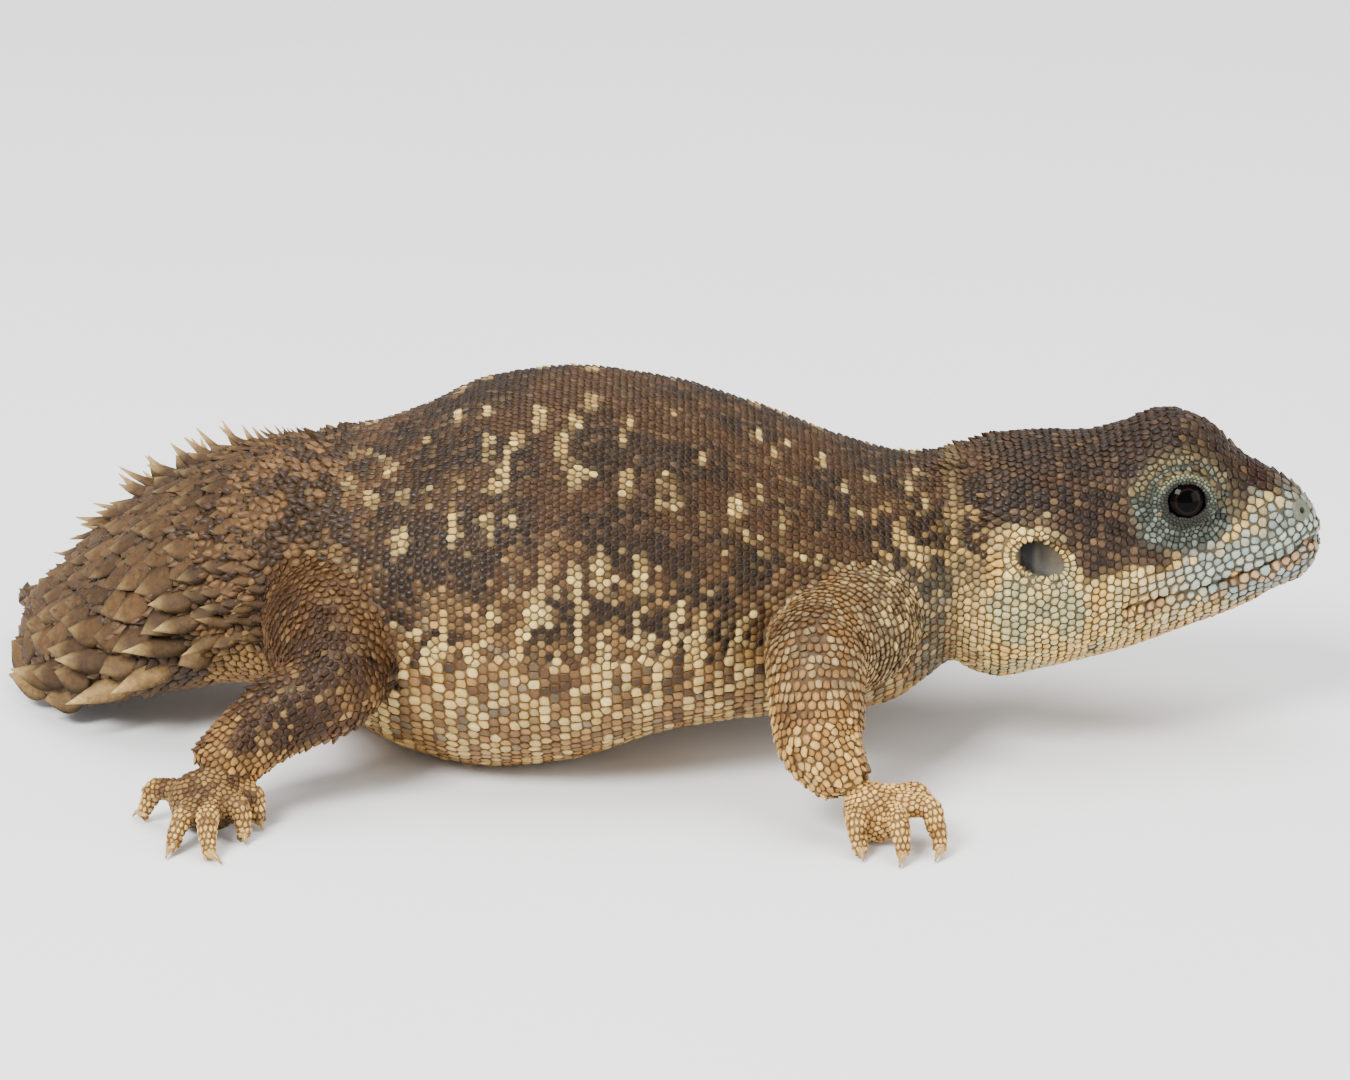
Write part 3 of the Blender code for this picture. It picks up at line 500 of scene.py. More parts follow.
@dataclass(frozen=True)
class Ball:
    """A palm, an ellipsoid about a centre.

    Attributes:
        centre: its middle, in metres.
        half: its half sizes.
        run: the way its scales point.
        tile: corner and size on the coat's unwrap.
    """

    centre: Array
    half: Array
    run: Array
    tile: tuple

    def points(self, lat: Array, lon: Array, shrink: float = 0.0) -> Array:
        """Points at these latitudes and longitudes."""
        ball = np.stack([np.sin(lat) * np.cos(lon), np.sin(lat) * np.sin(lon), np.cos(lat)], -1)
        return self.centre + ball * (self.half - shrink)

    def unwrapped(self, points: Array) -> Array:
        """Places on the coat's unwrap."""
        q = unit((points - self.centre) / self.half)
        u, v, wide, high = self.tile
        lon = np.arctan2(q[:, 1], q[:, 0]) / (2 * np.pi) % 1.0
        return np.stack([u + wide * np.arccos(np.clip(q[:, 2], -1, 1)) / np.pi, v + high * lon], -1)

    def lie(self, points: Array) -> Array:
        """The way scales point at each of these points."""
        return np.broadcast_to(self.run, points.shape)


@dataclass(frozen=True)
class LegForm:
    """One leg of the right side as in the solids, and how it is set on the other side.

    Attributes:
        name: fore or hind.
        joints: the line of centres, in millimetres.
        radii: the leg's radius at each joint.
        palm: the palm's centre and half sizes.
        toes: root, knuckle, claw's base and claw's tip of each toe.
        side: RIGHT, or LEFT for the mirrored leg.
        turn: degrees the leg is turned about its root.
        out: millimetres the leg is moved to the left.
        tile: the leg's corner on the coat's unwrap.
    """

    name: str
    joints: tuple
    radii: tuple
    palm: tuple
    toes: tuple
    side: int = RIGHT
    turn: float = 0.0
    out: float = 0.0
    tile: tuple = (0.66, 0.0)

    def placed(self, points: Array) -> Array:
        """Right-side points in millimetres, brought to this leg's place in metres."""
        root = mirror_y(self.joints[0], self.side)
        p = mirror_y(points, self.side) - root
        c, s = math.cos(math.radians(self.turn)), math.sin(math.radians(self.turn))
        x, y = p[..., 0] * c - p[..., 1] * s, p[..., 0] * s + p[..., 1] * c
        return (np.stack([x, y + self.out, p[..., 2]], -1) + root) * MM

    @cached_property
    def limb(self) -> Tube:
        """The leg's tube down to the wrist or ankle."""
        u, v = self.tile
        tile = (u + 0.01, v + 0.01, 0.15, 0.23)
        return Tube(self.placed(np.array(self.joints)), np.array(self.radii) * MM, tile)

    @cached_property
    def hand(self) -> Ball:
        """The palm."""
        u, v = self.tile
        centre, half = np.array(self.palm) * MM
        knuckles = np.mean([self.placed(np.array(toe[1])) for toe in self.toes[:4]], axis=0)
        tile = (u + 0.17, v + 0.02, 0.05, 0.21)
        return Ball(self.placed(centre / MM), half, unit(knuckles - self.limb.path[-1]), tile)

    @cached_property
    def digits(self) -> list[Tube]:
        """The toes' tubes."""
        u, v = self.tile
        tiles = [(u + 0.235, v + 0.01 + k * 0.047, 0.09, 0.042) for k in range(len(self.toes))]
        radii = TOE_RADII * MM * 0.86
        return [Tube(self.placed(np.array(toe)), radii, tile) for toe, tile in zip(self.toes, tiles)]


FORE = dict(
    name="fore",
    joints=((27.0, -5, 12.5), (25.4, -12, 12.2), (22.3, -18.9, 12.2), (22.5, -22.3, 7.2), (24.6, -24.2, 4.0)),
    radii=(4.6, 4.7, 3.9, 3.4, 2.1),
    palm=((26.6, -25.1, 2.3), (2.6, 2.3, 2.35)),
    toes=(
        ((25.4, -25.6, 2.6), (25.1, -27.3, 2.2), (25.4, -28.7, 0.55), (25.6, -29.8, 0.12)),
        ((27.2, -26.2, 2.9), (28.2, -28.4, 2.8), (28.4, -30.0, 0.55), (28.1, -31.0, 0.12)),
        ((28.2, -25.6, 3.1), (30.6, -26.9, 3.3), (31.2, -28.6, 0.55), (30.7, -29.8, 0.12)),
        ((28.0, -24.4, 3.2), (29.6, -24.6, 3.7), (31.0, -25.8, 0.55), (31.0, -26.9, 0.12)),
        ((26.6, -23.6, 2.4), (27.4, -22.5, 2.4), (28.0, -21.9, 0.55), (28.7, -21.3, 0.12)),
    ),
)
HIND = dict(
    name="hind",
    joints=(
        (-15, -3.5, 11), (-13.6, -10.5, 11.6), (-13.2, -16.9, 9.7), (-18.0, -18.8, 7.1), (-22.3, -21.3, 3.9),
    ),
    radii=(5.6, 5.6, 3.9, 3.1, 2.4),
    palm=((-22.6, -22.9, 2.4), (3.0, 2.3, 2.5)),
    toes=(
        ((-24.0, -22.2, 2.8), (-26.4, -21.4, 2.8), (-27.6, -20.9, 0.55), (-28.5, -20.3, 0.12)),
        ((-23.2, -24.4, 2.6), (-24.2, -26.4, 2.1), (-24.8, -27.9, 0.55), (-25.2, -29.2, 0.12)),
        ((-22.0, -24.8, 2.8), (-22.2, -27.2, 2.5), (-21.9, -29.2, 0.55), (-20.8, -30.3, 0.12)),
        ((-20.8, -24.2, 2.7), (-20.0, -24.8, 2.7), (-19.7, -25.4, 0.55), (-19.5, -26.4, 0.12)),
        ((-20.4, -22.8, 2.8), (-19.1, -22.5, 2.8), (-18.8, -22.6, 0.55), (-18.4, -23.4, 0.12)),
    ),
)
LEGS = (
    LegForm(**FORE, tile=(0.66, 0.0)),
    LegForm(**HIND, tile=(0.66, 0.25)),
    LegForm(**FORE, side=LEFT, turn=-6.0, tile=(0.66, 0.5)),
    LegForm(**HIND, side=LEFT, turn=-25.0, out=3.5, tile=(0.66, 0.75)),
)


def closed_grid(grid: Array, wrap: bool = False) -> tuple[Array, list]:
    """Vertices and faces of rings of points, with end faces, or closed as a torus if wrap is True."""
    rings, around = grid.shape[:2]
    index = np.arange(rings * around).reshape(rings, around)
    a, b = (index, np.roll(index, -1, 0)) if wrap else (index[:-1], index[1:])
    quads = np.stack([a, b, np.roll(b, -1, 1), np.roll(a, -1, 1)], -1).reshape(-1, 4)
    ends = [] if wrap else [index[0], index[-1][::-1]]
    verts = grid.reshape(-1, 3)
    p = verts - verts.mean(0)
    q = p[quads]
    volume = (np.cross(q[:, 1] - q[:, 0], q[:, 3] - q[:, 0]) * q.mean(1)).sum()
    if volume < 0:
        quads, ends = quads[:, ::-1], [end[::-1] for end in ends]
    return verts, quads.tolist() + [end.tolist() for end in ends]


def stacked(forms: Sequence[tuple[Array, list]]) -> tuple[Array, list]:
    """Several forms' vertices and faces as one."""
    starts = np.cumsum([0] + [len(v) for v, _ in forms])
    faces = [
        [i + int(start) for i in face] for (_, given), start in zip(forms, starts) for face in given
    ]
    return np.concatenate([v for v, _ in forms]), faces


def smooth_mesh(name: str, verts: Array, faces: list) -> bpy.types.Mesh:
    """A smooth-shaded mesh from vertices and faces."""
    mesh = bpy.data.meshes.new(name)
    mesh.from_pydata(verts.tolist(), [], faces)
    mesh.polygons.foreach_set("use_smooth", np.ones(len(mesh.polygons), bool))
    return mesh


def linked(name: str, mesh: bpy.types.Mesh) -> bpy.types.Object:
    """A new object in the scene."""
    made = bpy.data.objects.new(name, mesh)
    bpy.context.scene.collection.objects.link(made)
    return made


def add_node(
    tree: bpy.types.NodeTree, kind: str, values: Optional[dict] = None, **settings
) -> bpy.types.Node:
    """Adds a node with its own settings, and sets each named input or links it to an output."""
    node = tree.nodes.new(kind)
    for key, value in settings.items():
        setattr(node, key, value)
    for key, value in (values or {}).items():
        if isinstance(value, bpy.types.NodeSocket):
            tree.links.new(value, node.inputs[key])
        else:
            node.inputs[key].default_value = value
    return node


def scaly_material(name: str, finish: Finish) -> bpy.types.Material:
    """A material whose colour is the surface's own tint, broken up by noise of a real size."""
    made = bpy.data.materials.new(name)
    made.use_nodes = True
    tree = made.node_tree
    shader = tree.nodes["Principled BSDF"]
    place = add_node(tree, "ShaderNodeTexCoord").outputs["Object"]
    tint = add_node(tree, "ShaderNodeAttribute", attribute_name="tint").outputs["Color"]
    blotch = add_node(
        tree, "ShaderNodeTexNoise",
        {"Vector": place, "Scale": 1 / (finish.mottle_mm * MM), "Detail": 4.0, "Roughness": 0.6},
    ).outputs["Fac"]
    gain, rough = (
        add_node(
            tree, "ShaderNodeMapRange",
            {"Value": blotch, "From Min": 0.3, "From Max": 0.7,
             "To Min": mean - swing, "To Max": mean + swing},
        ).outputs["Result"]
        for mean, swing in ((1, finish.mottle), (finish.rough, finish.rough_vary))
    )
    colour = add_node(
        tree, "ShaderNodeVectorMath", {0: tint, 1: gain}, operation="MULTIPLY"
    ).outputs["Vector"]
    tree.links.new(colour, shader.inputs["Base Color"])
    tree.links.new(rough, shader.inputs["Roughness"])
    fine = add_node(
        tree, "ShaderNodeTexNoise",
        {"Vector": place, "Scale": 1 / GRAIN, "Detail": 3.0, "Roughness": 0.55},
    ).outputs["Fac"]
    relief = add_node(
        tree, "ShaderNodeBump", {"Height": fine, "Strength": 0.7, "Distance": finish.bump * MM}
    ).outputs["Normal"]
    tree.links.new(relief, shader.inputs["Normal"])
    shader.inputs["Specular IOR Level"].default_value = finish.gloss
    shader.inputs["Coat Weight"].default_value = finish.coat
    shader.inputs["Coat Roughness"].default_value = 0.06
    return made


@dataclass
class Roots:
    """Many scales' places, each a row.

    Attributes:
        foot: points on the skin.
        out: outward normals.
        lie: the way the scales point.
        long, wide: spacing along and across the lie, in metres.
        tall: height in metres.
        spike: how far the rear is drawn up to a point, from 0 to 1.
        coat: number of the coat that each belongs to.
        chart: number of the unwrap that each lies on.
    """

    foot: Array
    out: Array
    lie: Array
    long: Array
    wide: Array
    tall: Array
    spike: Array
    coat: Array
    chart: Array

    def kept(self, keep: Array) -> "Roots":
        """Only the rows that are marked True, or numbered."""
        return Roots(*(v[keep] for v in self.__dict__.values()))

    @staticmethod
    def joined(parts: Sequence["Roots"]) -> "Roots":
        """Several sets as one."""
        return Roots(*(np.concatenate([getattr(p, k) for p in parts]) for k in parts[0].__dict__))

    @property
    def size(self) -> Array:
        """Each scale's mean spacing."""
        return np.sqrt(self.long * self.wide)

    def tree(self) -> KDTree:
        """A search tree of the feet."""
        tree = KDTree(len(self.foot))
        for i, p in enumerate(self.foot):
            tree.insert(p, i)
        tree.balance()
        return tree

    def thinned(self, share: float = 0.62) -> "Roots":
        """Drops each scale that stands too close to one before it."""
        tree, size = self.tree(), self.size
        keep = np.ones(len(size), bool)
        for i, p in enumerate(self.foot):
            if keep[i]:
                for _, j, off in tree.find_range(p, share * size[i]):
                    if j > i and off < share * (size[i] + size[j]) / 2 and self.out[i] @ self.out[j] > 0.1:
                        keep[j] = False
        return self.kept(keep)

    def outlines(self, sides: int, near: int = 11) -> Array:
        """Each scale's reach in a number of even directions, so that neighbours meet edge to edge.

        In direction d the reach is the least of f*|v|^2/(v.d) over the nearest neighbours at v, where
        f shares the gap by size. It is held within an ellipse of the scale's own spacing.
        """
        tree, size = self.tree(), self.size
        found = np.array([[f[1] for f in tree.find_n(p, near + 1)][1:] for p in self.foot])
        side = np.cross(self.out, self.lie)
        v = self.foot[found] - self.foot[:, None]
        a, b = (v * self.lie[:, None]).sum(-1), (v * side[:, None]).sum(-1)
        share = size[:, None] / (size[:, None] + size[found])
        other = (self.out[found] * self.out[:, None]).sum(-1) < 0.1
        turn = np.arange(sides) * 2 * np.pi / sides
        c, s = np.cos(turn), np.sin(turn)
        toward = a[..., None] * c + b[..., None] * s
        reach = share[..., None] * (a * a + b * b)[..., None] / np.maximum(toward, 1e-9)
        reach[other] = 1.0
        most = REACH_MOST / np.sqrt((c / self.long[:, None]) ** 2 + (s / self.wide[:, None]) ** 2)
        return np.minimum(reach.min(1), most)


@dataclass(frozen=True)
class ScaleShape:
    """One scale's relief, as rings of its outline.

    The height of a ring point is h + tip*a, where a runs from -1 at the front to 1 at the rear, and
    the middle stands at 1 + keel.

    Attributes:
        sides: corners of the outline.
        keel: height of the middle over the rim.
        tip: how far the rear end stands over the front.
        fill: share of its cell that the scale takes.
        rings: radius, height and brightness of each ring, from the root upwards.
    """

    sides: int = 8
    keel: float = 0.1
    tip: float = 0.3
    fill: float = 0.96
    rings: tuple = ((1.0, -1.2, 0.0), (0.97, 0.42, 0.3), (0.74, 0.9, 0.95))

    def faces(self) -> list:
        """Faces of one scale."""
        n, last = self.sides, (len(self.rings) - 1) * self.sides
        around = [(i, (i + 1) % n) for i in range(n)]
        walls = [
            (low + i, low + j, low + n + j, low + n + i) for low in range(0, last, n) for i, j in around
        ]
        return walls + [(last + i, last + j, last + n) for i, j in around] + [tuple(range(n))[::-1]]


@dataclass(frozen=True)
class CoatPlan:
    """A kind of scale: its name, relief, slot, finish, and the colour of its seams."""

    name: str
    shape: ScaleShape
    slot: str
    finish: Finish
    seam: str


class Coat:
    """Lays one kind of scale on its roots, in pieces under the size limit."""

    LIMIT = 190_000

    def __init__(self, plan: CoatPlan) -> None:
        self.plan, self.shape = plan, plan.shape
        self.faces = plan.shape.faces()
        self.material = scaly_material(plan.name + "_horn", plan.finish)

    def lay(
        self, roots: Roots, reach: Array, tint: Array, wrap: Array, seed: int
    ) -> list[bpy.types.Object]:
        """Builds the pieces from the scales' roots, outlines, colours and places on the unwrap.

        The seed is for the small differences in height and tilt.
        """
        triangles = sum(len(f) - 2 for f in self.faces)
        pieces = max(1, -(-len(tint) * triangles // self.LIMIT))
        made = []
        for k, rows in enumerate(np.array_split(np.argsort(wrap[:, 1], kind="stable"), pieces)):
            name = self.plan.name + (f"_{k + 1}" if pieces > 1 else "")
            given = roots.kept(rows), reach[rows], tint[rows], wrap[rows]
            made.append(self.piece(name, *given, seed + k))
        total = len(tint) * triangles
        log.info("%s: %d scales, %d triangles, %d pieces", self.plan.name, len(tint), total, pieces)
        return made

    def piece(
        self, name: str, roots: Roots, reach: Array, tint: Array, wrap: Array, seed: int
    ) -> bpy.types.Object:
        """One object of many scales, set out as a single array of points."""
        chance = np.random.default_rng(seed)
        n, sides, shape = len(tint), self.shape.sides, self.shape
        turn = np.arange(sides) * 2 * np.pi / sides
        mean = reach.mean(1, keepdims=True)
        lean = chance.normal(0, LEAN, (n, 2))
        tall = roots.tall * chance.uniform(*TALL_SPREAD, n)
        along, over, up, light = [], [], [], []
        for radius, height, bright in shape.rings:
            a, b = (reach * way(turn) * radius * shape.fill for way in (np.cos, np.sin))
            slope = (shape.tip * a / mean if height > 0 else 0 * a) + height
            rise = slope * tall[:, None] + (lean[:, :1] * a + lean[:, 1:] * b) * (height > 0)
            rear = np.maximum(np.cos(turn), 0)[None] ** 3 * roots.spike[:, None] * (height > 0)
            along.append(a + rear * mean * 0.7)
            over.append(b * (1 - 0.35 * rear))
            up.append(rise + rear * mean * 1.1)
            light.append(np.full(sides, bright))
        along.append(roots.spike[:, None] * mean * 0.25)
        over.append(np.zeros((n, 1)))
        up.append((1 + shape.keel) * tall[:, None] + roots.spike[:, None] * mean * 0.45)
        light.append(np.ones(1))
        a, b, h = (np.concatenate(v, 1) for v in (along, over, up))
        light = np.concatenate(light)
        side = np.cross(roots.out, roots.lie)
        co = (
            roots.foot[:, None] + roots.lie[:, None] * a[..., None]
            + side[:, None] * b[..., None] + roots.out[:, None] * h[..., None]
        )
        co[..., 2] = np.maximum(co[..., 2], 0.0)
        shade = mixed(hexed(self.plan.seam), tint[:, None], np.broadcast_to(light, (n, len(light))))
        mesh = copied_mesh(name, co.reshape(-1, 3), self.faces, n, len(light), flat=sides)
        set_tint(mesh, shade.reshape(-1, 3))
        spread = np.stack([a, b], -1) / np.maximum(mean[..., None], 1e-9) * PATCH
        add_wrap(mesh, wrap[:, None] + np.clip(spread, -PATCH_MOST, PATCH_MOST), self.faces)
        mesh.materials.append(self.material)
        made = linked(name, mesh)
        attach(made, "root")
        return made


def copied_mesh(name: str, co: Array, faces: list, n: int, k: int, flat: int) -> bpy.types.Mesh:
    """A mesh of n copies of one set of faces, k points each, whose first faces are shaded flat."""
    loops = np.concatenate([np.array(f) for f in faces])
    totals = np.array([len(f) for f in faces])
    starts = np.concatenate([[0], np.cumsum(totals)[:-1]])
    mesh = bpy.data.meshes.new(name)
    mesh.vertices.add(len(co))
    mesh.vertices.foreach_set("co", co.astype(np.float32).ravel())
    mesh.loops.add(n * len(loops))
    corners = loops[None] + np.arange(n)[:, None] * k
    mesh.loops.foreach_set("vertex_index", corners.astype(np.int32).ravel())
    mesh.polygons.add(n * len(faces))
    first = starts[None] + np.arange(n)[:, None] * len(loops)
    mesh.polygons.foreach_set("loop_start", first.astype(np.int32).ravel())
    smooth = np.tile(np.arange(len(faces)) >= flat, n)
    mesh.polygons.foreach_set("use_smooth", smooth)
    mesh.update(calc_edges=True)
    return mesh


def add_wrap(mesh: bpy.types.Mesh, wrap: Array, faces: list) -> None:
    """Gives each copy its patch of the coat's unwrap, from one place a point."""
    loops = np.concatenate([np.array(f) for f in faces])
    mesh.uv_layers.new(name="OFBake").data.foreach_set("uv", wrap[:, loops].astype(np.float32).ravel())


def set_tint(mesh: bpy.types.Mesh, tint: Array) -> None:
    """Stores a linear colour on every point of a mesh."""
    full = np.ones((len(tint), 4), np.float32)
    full[:, :3] = np.clip(tint, 0, 1)
    mesh.attributes.new("tint", "FLOAT_COLOR", "POINT").data.foreach_set("color", full.ravel())


class Skin:
    """The one skin under the whole coat, a smooth union of body, lids, brows, legs, palms and toes."""

    VOXEL = 0.385 * MM

    def __init__(self) -> None:
        self.inner = BodyForm(grow=-SKIN_DEPTH)
        self.object = self.build()
        self.tree = BVHTree.FromObject(self.object, bpy.context.evaluated_depsgraph_get())

    def forms(self) -> list[tuple[Array, list]]:
        """The closed forms that the skin is made of."""
        forms = [closed_grid(self.inner.points(*spans((0, self.inner.at[-1], 260), 120)))]
        for leg in LEGS:
            limb = leg.limb.points(*spans((0, 1, 40), 36), shrink=SKIN_DEPTH)[0]
            palm = leg.hand.points(*spans((0.03, np.pi - 0.03, 16), 24), shrink=SKIN_DEPTH)
            toes = [toe.points(*spans((0, 0.8, 20), 14), shrink=0.04 * MM)[0] for toe in leg.digits]
            forms += [closed_grid(grid) for grid in (limb, palm, *toes)]
        for side in (RIGHT, LEFT):
            eye = EyeForm(side)
            forms.append(closed_grid(eye.rim(), wrap=True))
            fold, out = self.inner.at_height(*zip(*BROW_FOLD), side)
            brow = Tube(fold - out * 0.18 * MM, BROW_RADII * MM)
            forms.append(closed_grid(brow.points(*spans((0, 1, 20), 10))[0]))
        return forms

    def build(self) -> bpy.types.Object:
        """Joins the forms, remeshes them as one surface, smooths it and presses in its hollows."""
        rough = linked("raw", smooth_mesh("raw", *stacked(self.forms())))
        remesh = rough.modifiers.new("one surface", "REMESH")
        remesh.mode, remesh.voxel_size = "VOXEL", self.VOXEL
        smooth = rough.modifiers.new("smooth", "SMOOTH")
        smooth.factor, smooth.iterations = 0.5, 4
        graph = bpy.context.evaluated_depsgraph_get()
        mesh = bpy.data.meshes.new_from_object(rough.evaluated_get(graph))
        bpy.data.objects.remove(rough)
        mesh.name = "skin"
        mesh.vertices.foreach_set("co", self.pressed(points_of(mesh)).ravel())
        mesh.polygons.foreach_set("use_smooth", np.ones(len(mesh.polygons), bool))
        mesh.update()
        log.info("skin: %d faces", len(mesh.polygons))
        return linked("skin", mesh)

    def pressed(self, co: Array) -> Array:
        """Presses in the eye hollows, ear cups and mouth line, and flattens the skin on the floor."""
        for side in (RIGHT, LEFT):
            eye = EyeForm(side)
            flat, depth = eye.flat(co)
            inside = (flat < EYE_HOLLOW) & (depth > 0)
            sunk = co - eye.out * np.maximum(depth - EYE_FLOOR, 0)[:, None]
            co = np.where(inside[:, None], sunk, co)
            ear = EarForm(self.inner, side)
            cup = np.sqrt(np.clip(1 - ear.apart(co) ** 2, 0, 1))
            slant = 0.75 + 0.35 * np.clip(-(co[:, 0] - ear.spot[0]) / (1.5 * MM), -1, 1)
            co = co - ear.out * (cup * slant * EAR_DEPTH)[:, None]
        x, z = co[:, 0] / MM, co[:, 2] / MM
        off = (z - mouth_height(x)) / MOUTH_WIDE
        inward = np.stack([-0.6 * ease(58, 61, x), -np.clip(co[:, 1] / MM, -1, 1), 0 * x], -1)
        co = co + inward * (MOUTH_DEEP * np.exp(-off * off) * ease(45.0, 46.2, x))[:, None]
        co[:, 2] = np.maximum(co[:, 2], 0.06 * MM)
        return co

    def seat(self, points: Array) -> tuple[Array, Array, Array]:
        """The nearest skin points, their normals, and how far out of the skin each point lies."""
        found = [self.tree.find_nearest(Vector(p)) for p in points]
        spot, out = (np.array([f[k] for f in found]) for k in (0, 1))
        off = points - spot
        return spot, out, np.linalg.norm(off, axis=1) * np.sign((off * out).sum(1))


def spans(along: tuple, around: int) -> tuple[Array, Array]:
    """A grid of even values from along's start to its end, by even turns round the circle."""
    return np.meshgrid(np.linspace(*along), even_turns(around), indexing="ij")


def points_of(mesh: bpy.types.Mesh) -> Array:
    """A mesh's points as rows."""
    co = np.empty(len(mesh.vertices) * 3)
    mesh.vertices.foreach_get("co", co)
    return co.reshape(-1, 3)


class EyeForm:
    """One eye's centre, its directions forwards, up and out, and the opening of its lids."""

    def __init__(self, side: int) -> None:
        self.centre, self.out = mirror_y(EYE_PLACE, side), mirror_y(EYE_OUT, side)
        self.up = upright(self.out)
        self.ahead = unit(np.cross(self.up, self.out)) * side

    def flat(self, points: Array) -> tuple[Array, Array]:
        """Distance from the eye's middle across the lids, and height out of the head."""
        away = points - self.centre
        return np.hypot(away @ self.ahead / LID_STRETCH, away @ self.up), away @ self.out

    def ring(self, turn: Array, radius: Array, depth: Array) -> Array:
        """Points round the eye."""
        spoke = self.ahead * np.cos(turn)[..., None] * LID_STRETCH + self.up * np.sin(turn)[..., None]
        return self.centre + spoke * np.asarray(radius)[..., None] + self.out * np.asarray(depth)[..., None]

    def rim(self) -> Array:
        """The lids' rim, a ring of rings."""
        a, b = np.meshgrid(even_turns(40), even_turns(12), indexing="ij")
        return self.ring(a, LID_RING + LID_THICKNESS * np.cos(b), LID_OUT + LID_THICKNESS * np.sin(b))


class EarForm:
    """One ear's opening, an ellipse on the side of the head."""

    def __init__(self, body: BodyForm, side: int) -> None:
        spot, out = body.at_height([EAR_SPOT[0]], [EAR_SPOT[1]], side)
        self.spot, self.out, self.side = spot[0], out[0], side

    def apart(self, points: Array) -> Array:
        """Distance from the ear's middle, with 1 at the rim."""
        gap = points - self.spot
        far = 9.0 * (abs(gap[:, 1]) > 2.6 * MM)
        return np.hypot(gap[:, 0] / EAR_HALF[0], (gap[:, 2] + EAR_LEAN * gap[:, 0]) / EAR_HALF[1]) + far


def ranked(values: Array) -> Array:
    """Each value's rank as a share from 0 to 1."""
    return np.argsort(np.argsort(values)) / max(1, len(values) - 1)


class Markings:
    """The colour of every scale, from where it grows and seeded noise.

    In the methods x, y and z are in millimetres, degrees are counted from the back's midline, and
    any_ is a chance value for each scale.
    """

    def __init__(self, palette: Palette, body: BodyForm) -> None:
        self.c = {k: hexed(v) for k, v in palette.__dict__.items()}
        self.body = body
        self.marks = self.flank_marks()

    def painted(self, tint: Array, *washes: tuple) -> Array:
        """Lays washes over a tint: each a colour and its cover, or two, the second's share and the cover."""
        for low, *blend, cover in washes:
            wash = mixed(self.c[low], self.c[blend[0]], blend[1]) if blend else self.c[low]
            tint = mixed(tint, wash, cover)
        return tint

    def flank_marks(self) -> Array:
        """Short pale upright bars: x, degrees from the back, half length, half height and strength."""
        chance = np.random.default_rng(23)
        rows = [
            (
                x + chance.uniform(-0.9, 0.9), d + chance.uniform(-4, 4), chance.uniform(0.26, 0.62),
                chance.uniform(1.8, 7.0), chance.uniform(0.45, 1.35),
            )
            for x in np.arange(-15.0, 33.0, 2.1)
            for d in np.arange(18.0, 104.0, 9.5)
            if chance.random() < 0.43
        ]
        return np.array(rows)

    def body_tint(self, p: Array, seed: int) -> Array:
        """Colours of the back, flanks, belly, neck and tail base."""
        chance = np.random.default_rng(seed)
        x, degrees = p[:, 0] / MM, self.body.degrees(p)
        any_ = chance.random(len(p))
        tone = ranked(cloud(p, 3.0 * MM, 3) + cloud(p, 1.2 * MM, 33) * 0.5)
        lean = p - np.outer(p[:, 2], (0.22, 0, 0))
        strand = ranked(cloud(lean * (1 / 0.6, 0.22, 0.26), 1.0 * MM, 14) + any_ * 0.25)
        low = ease(72, 118, degrees + (tone - 0.5) * 26 + (any_ - 0.5) * 30)
        share = np.interp(degrees, (50, 76, 94, 112, 180), (0.0, 0.06, 0.3, 0.48, 0.74))
        pale = ease(1.0 - share, 1.08 - share, strand)
        soft = chance.uniform(0.6, 1.0, len(p))
        patch = ease(0.6, 0.85, ranked(cloud(p, 2.2 * MM, 17) + any_ * 0.2)) * ease(132, 100, degrees) * low
        bar = np.zeros(len(p))
        for mx, md, half, tall, power in self.marks:
            away = ((x - mx) / half) ** 2 + ((degrees - md) / tall) ** 2
            bar = np.maximum(bar, power * np.exp(-away))
        fold = ease(29.0, 30.6, x + (tone - 0.5) * 2) * ease(33.6, 32.0, x + (tone - 0.5))
        jowl = ease(32.3, 33.6, x + (any_ - 0.5)) * ease(70, 92, degrees) * ease(158, 140, degrees)
        ridge = np.exp(-(((x - 33.0) / 0.5) ** 2)) * ease(98, 66, degrees)
        blaze = np.hypot((x - 29.6 - (degrees - 62) * 0.09) / 0.9, (degrees - 62) / 13)
        tint = self.painted(
            self.c["back_dark"],
            ("back", ease(0.25, 0.9, tone)),
            ("back_light", ease(0.72, 0.98, any_) * 0.55),
            ("flank_dark", "flank", any_, low),
            ("flank_grey", low * ease(0.8, 0.9, ranked(cloud(p, 0.7 * MM, 15))) * 0.75),
            ("cream_low", "cream", any_, pale * soft),
            ("belly_brown", "belly", any_, ease(118, 150, degrees) * (1 - pale * 0.6) * 0.85),
            ("back", patch * (1 - pale) * 0.7),
            ("cream_low", "cream", any_, ease(0.15, 0.8, bar + (any_ - 0.5) * 0.3) * soft),
            ("fold", "flank_grey", any_ * 0.5, fold * ease(58, 90, degrees) * 0.9),
            ("cheek", "cheek_warm", any_, jowl * 0.9),
            ("brow", "cream_low", ease(20, 60, degrees) * any_, ridge * 0.7),
            ("flank_dark", "belly_brown", any_ * 0.6, ease(28.5, 30.5, x) * ease(138, 156, degrees) * 0.8),
            ("cream_low", "cream", any_, ease(1.0, 0.7, blaze) * 0.85),
            ("cream_low", ease(25, 28, x) * ease(36, 52, degrees) * ease(0.68, 0.9, any_) * 0.6),
            ("flank_grey", ease(19, 24, x) * ease(60, 90, degrees) * ease(0.35, 0.6, any_) * 0.5),
        )
        rough = self.painted(
            self.c["plate_dark"],
            ("rump", ease(0.35, 0.75, ranked(cloud(p, 0.9 * MM, 16)))),
            ("under", ease(75, 110, degrees)),
        )
        rump = ease(-8, -15, x) * ease(110, 80, degrees)
        return mixed(tint, rough, np.maximum(rump, ease(-16, -20, x)) * 0.85)

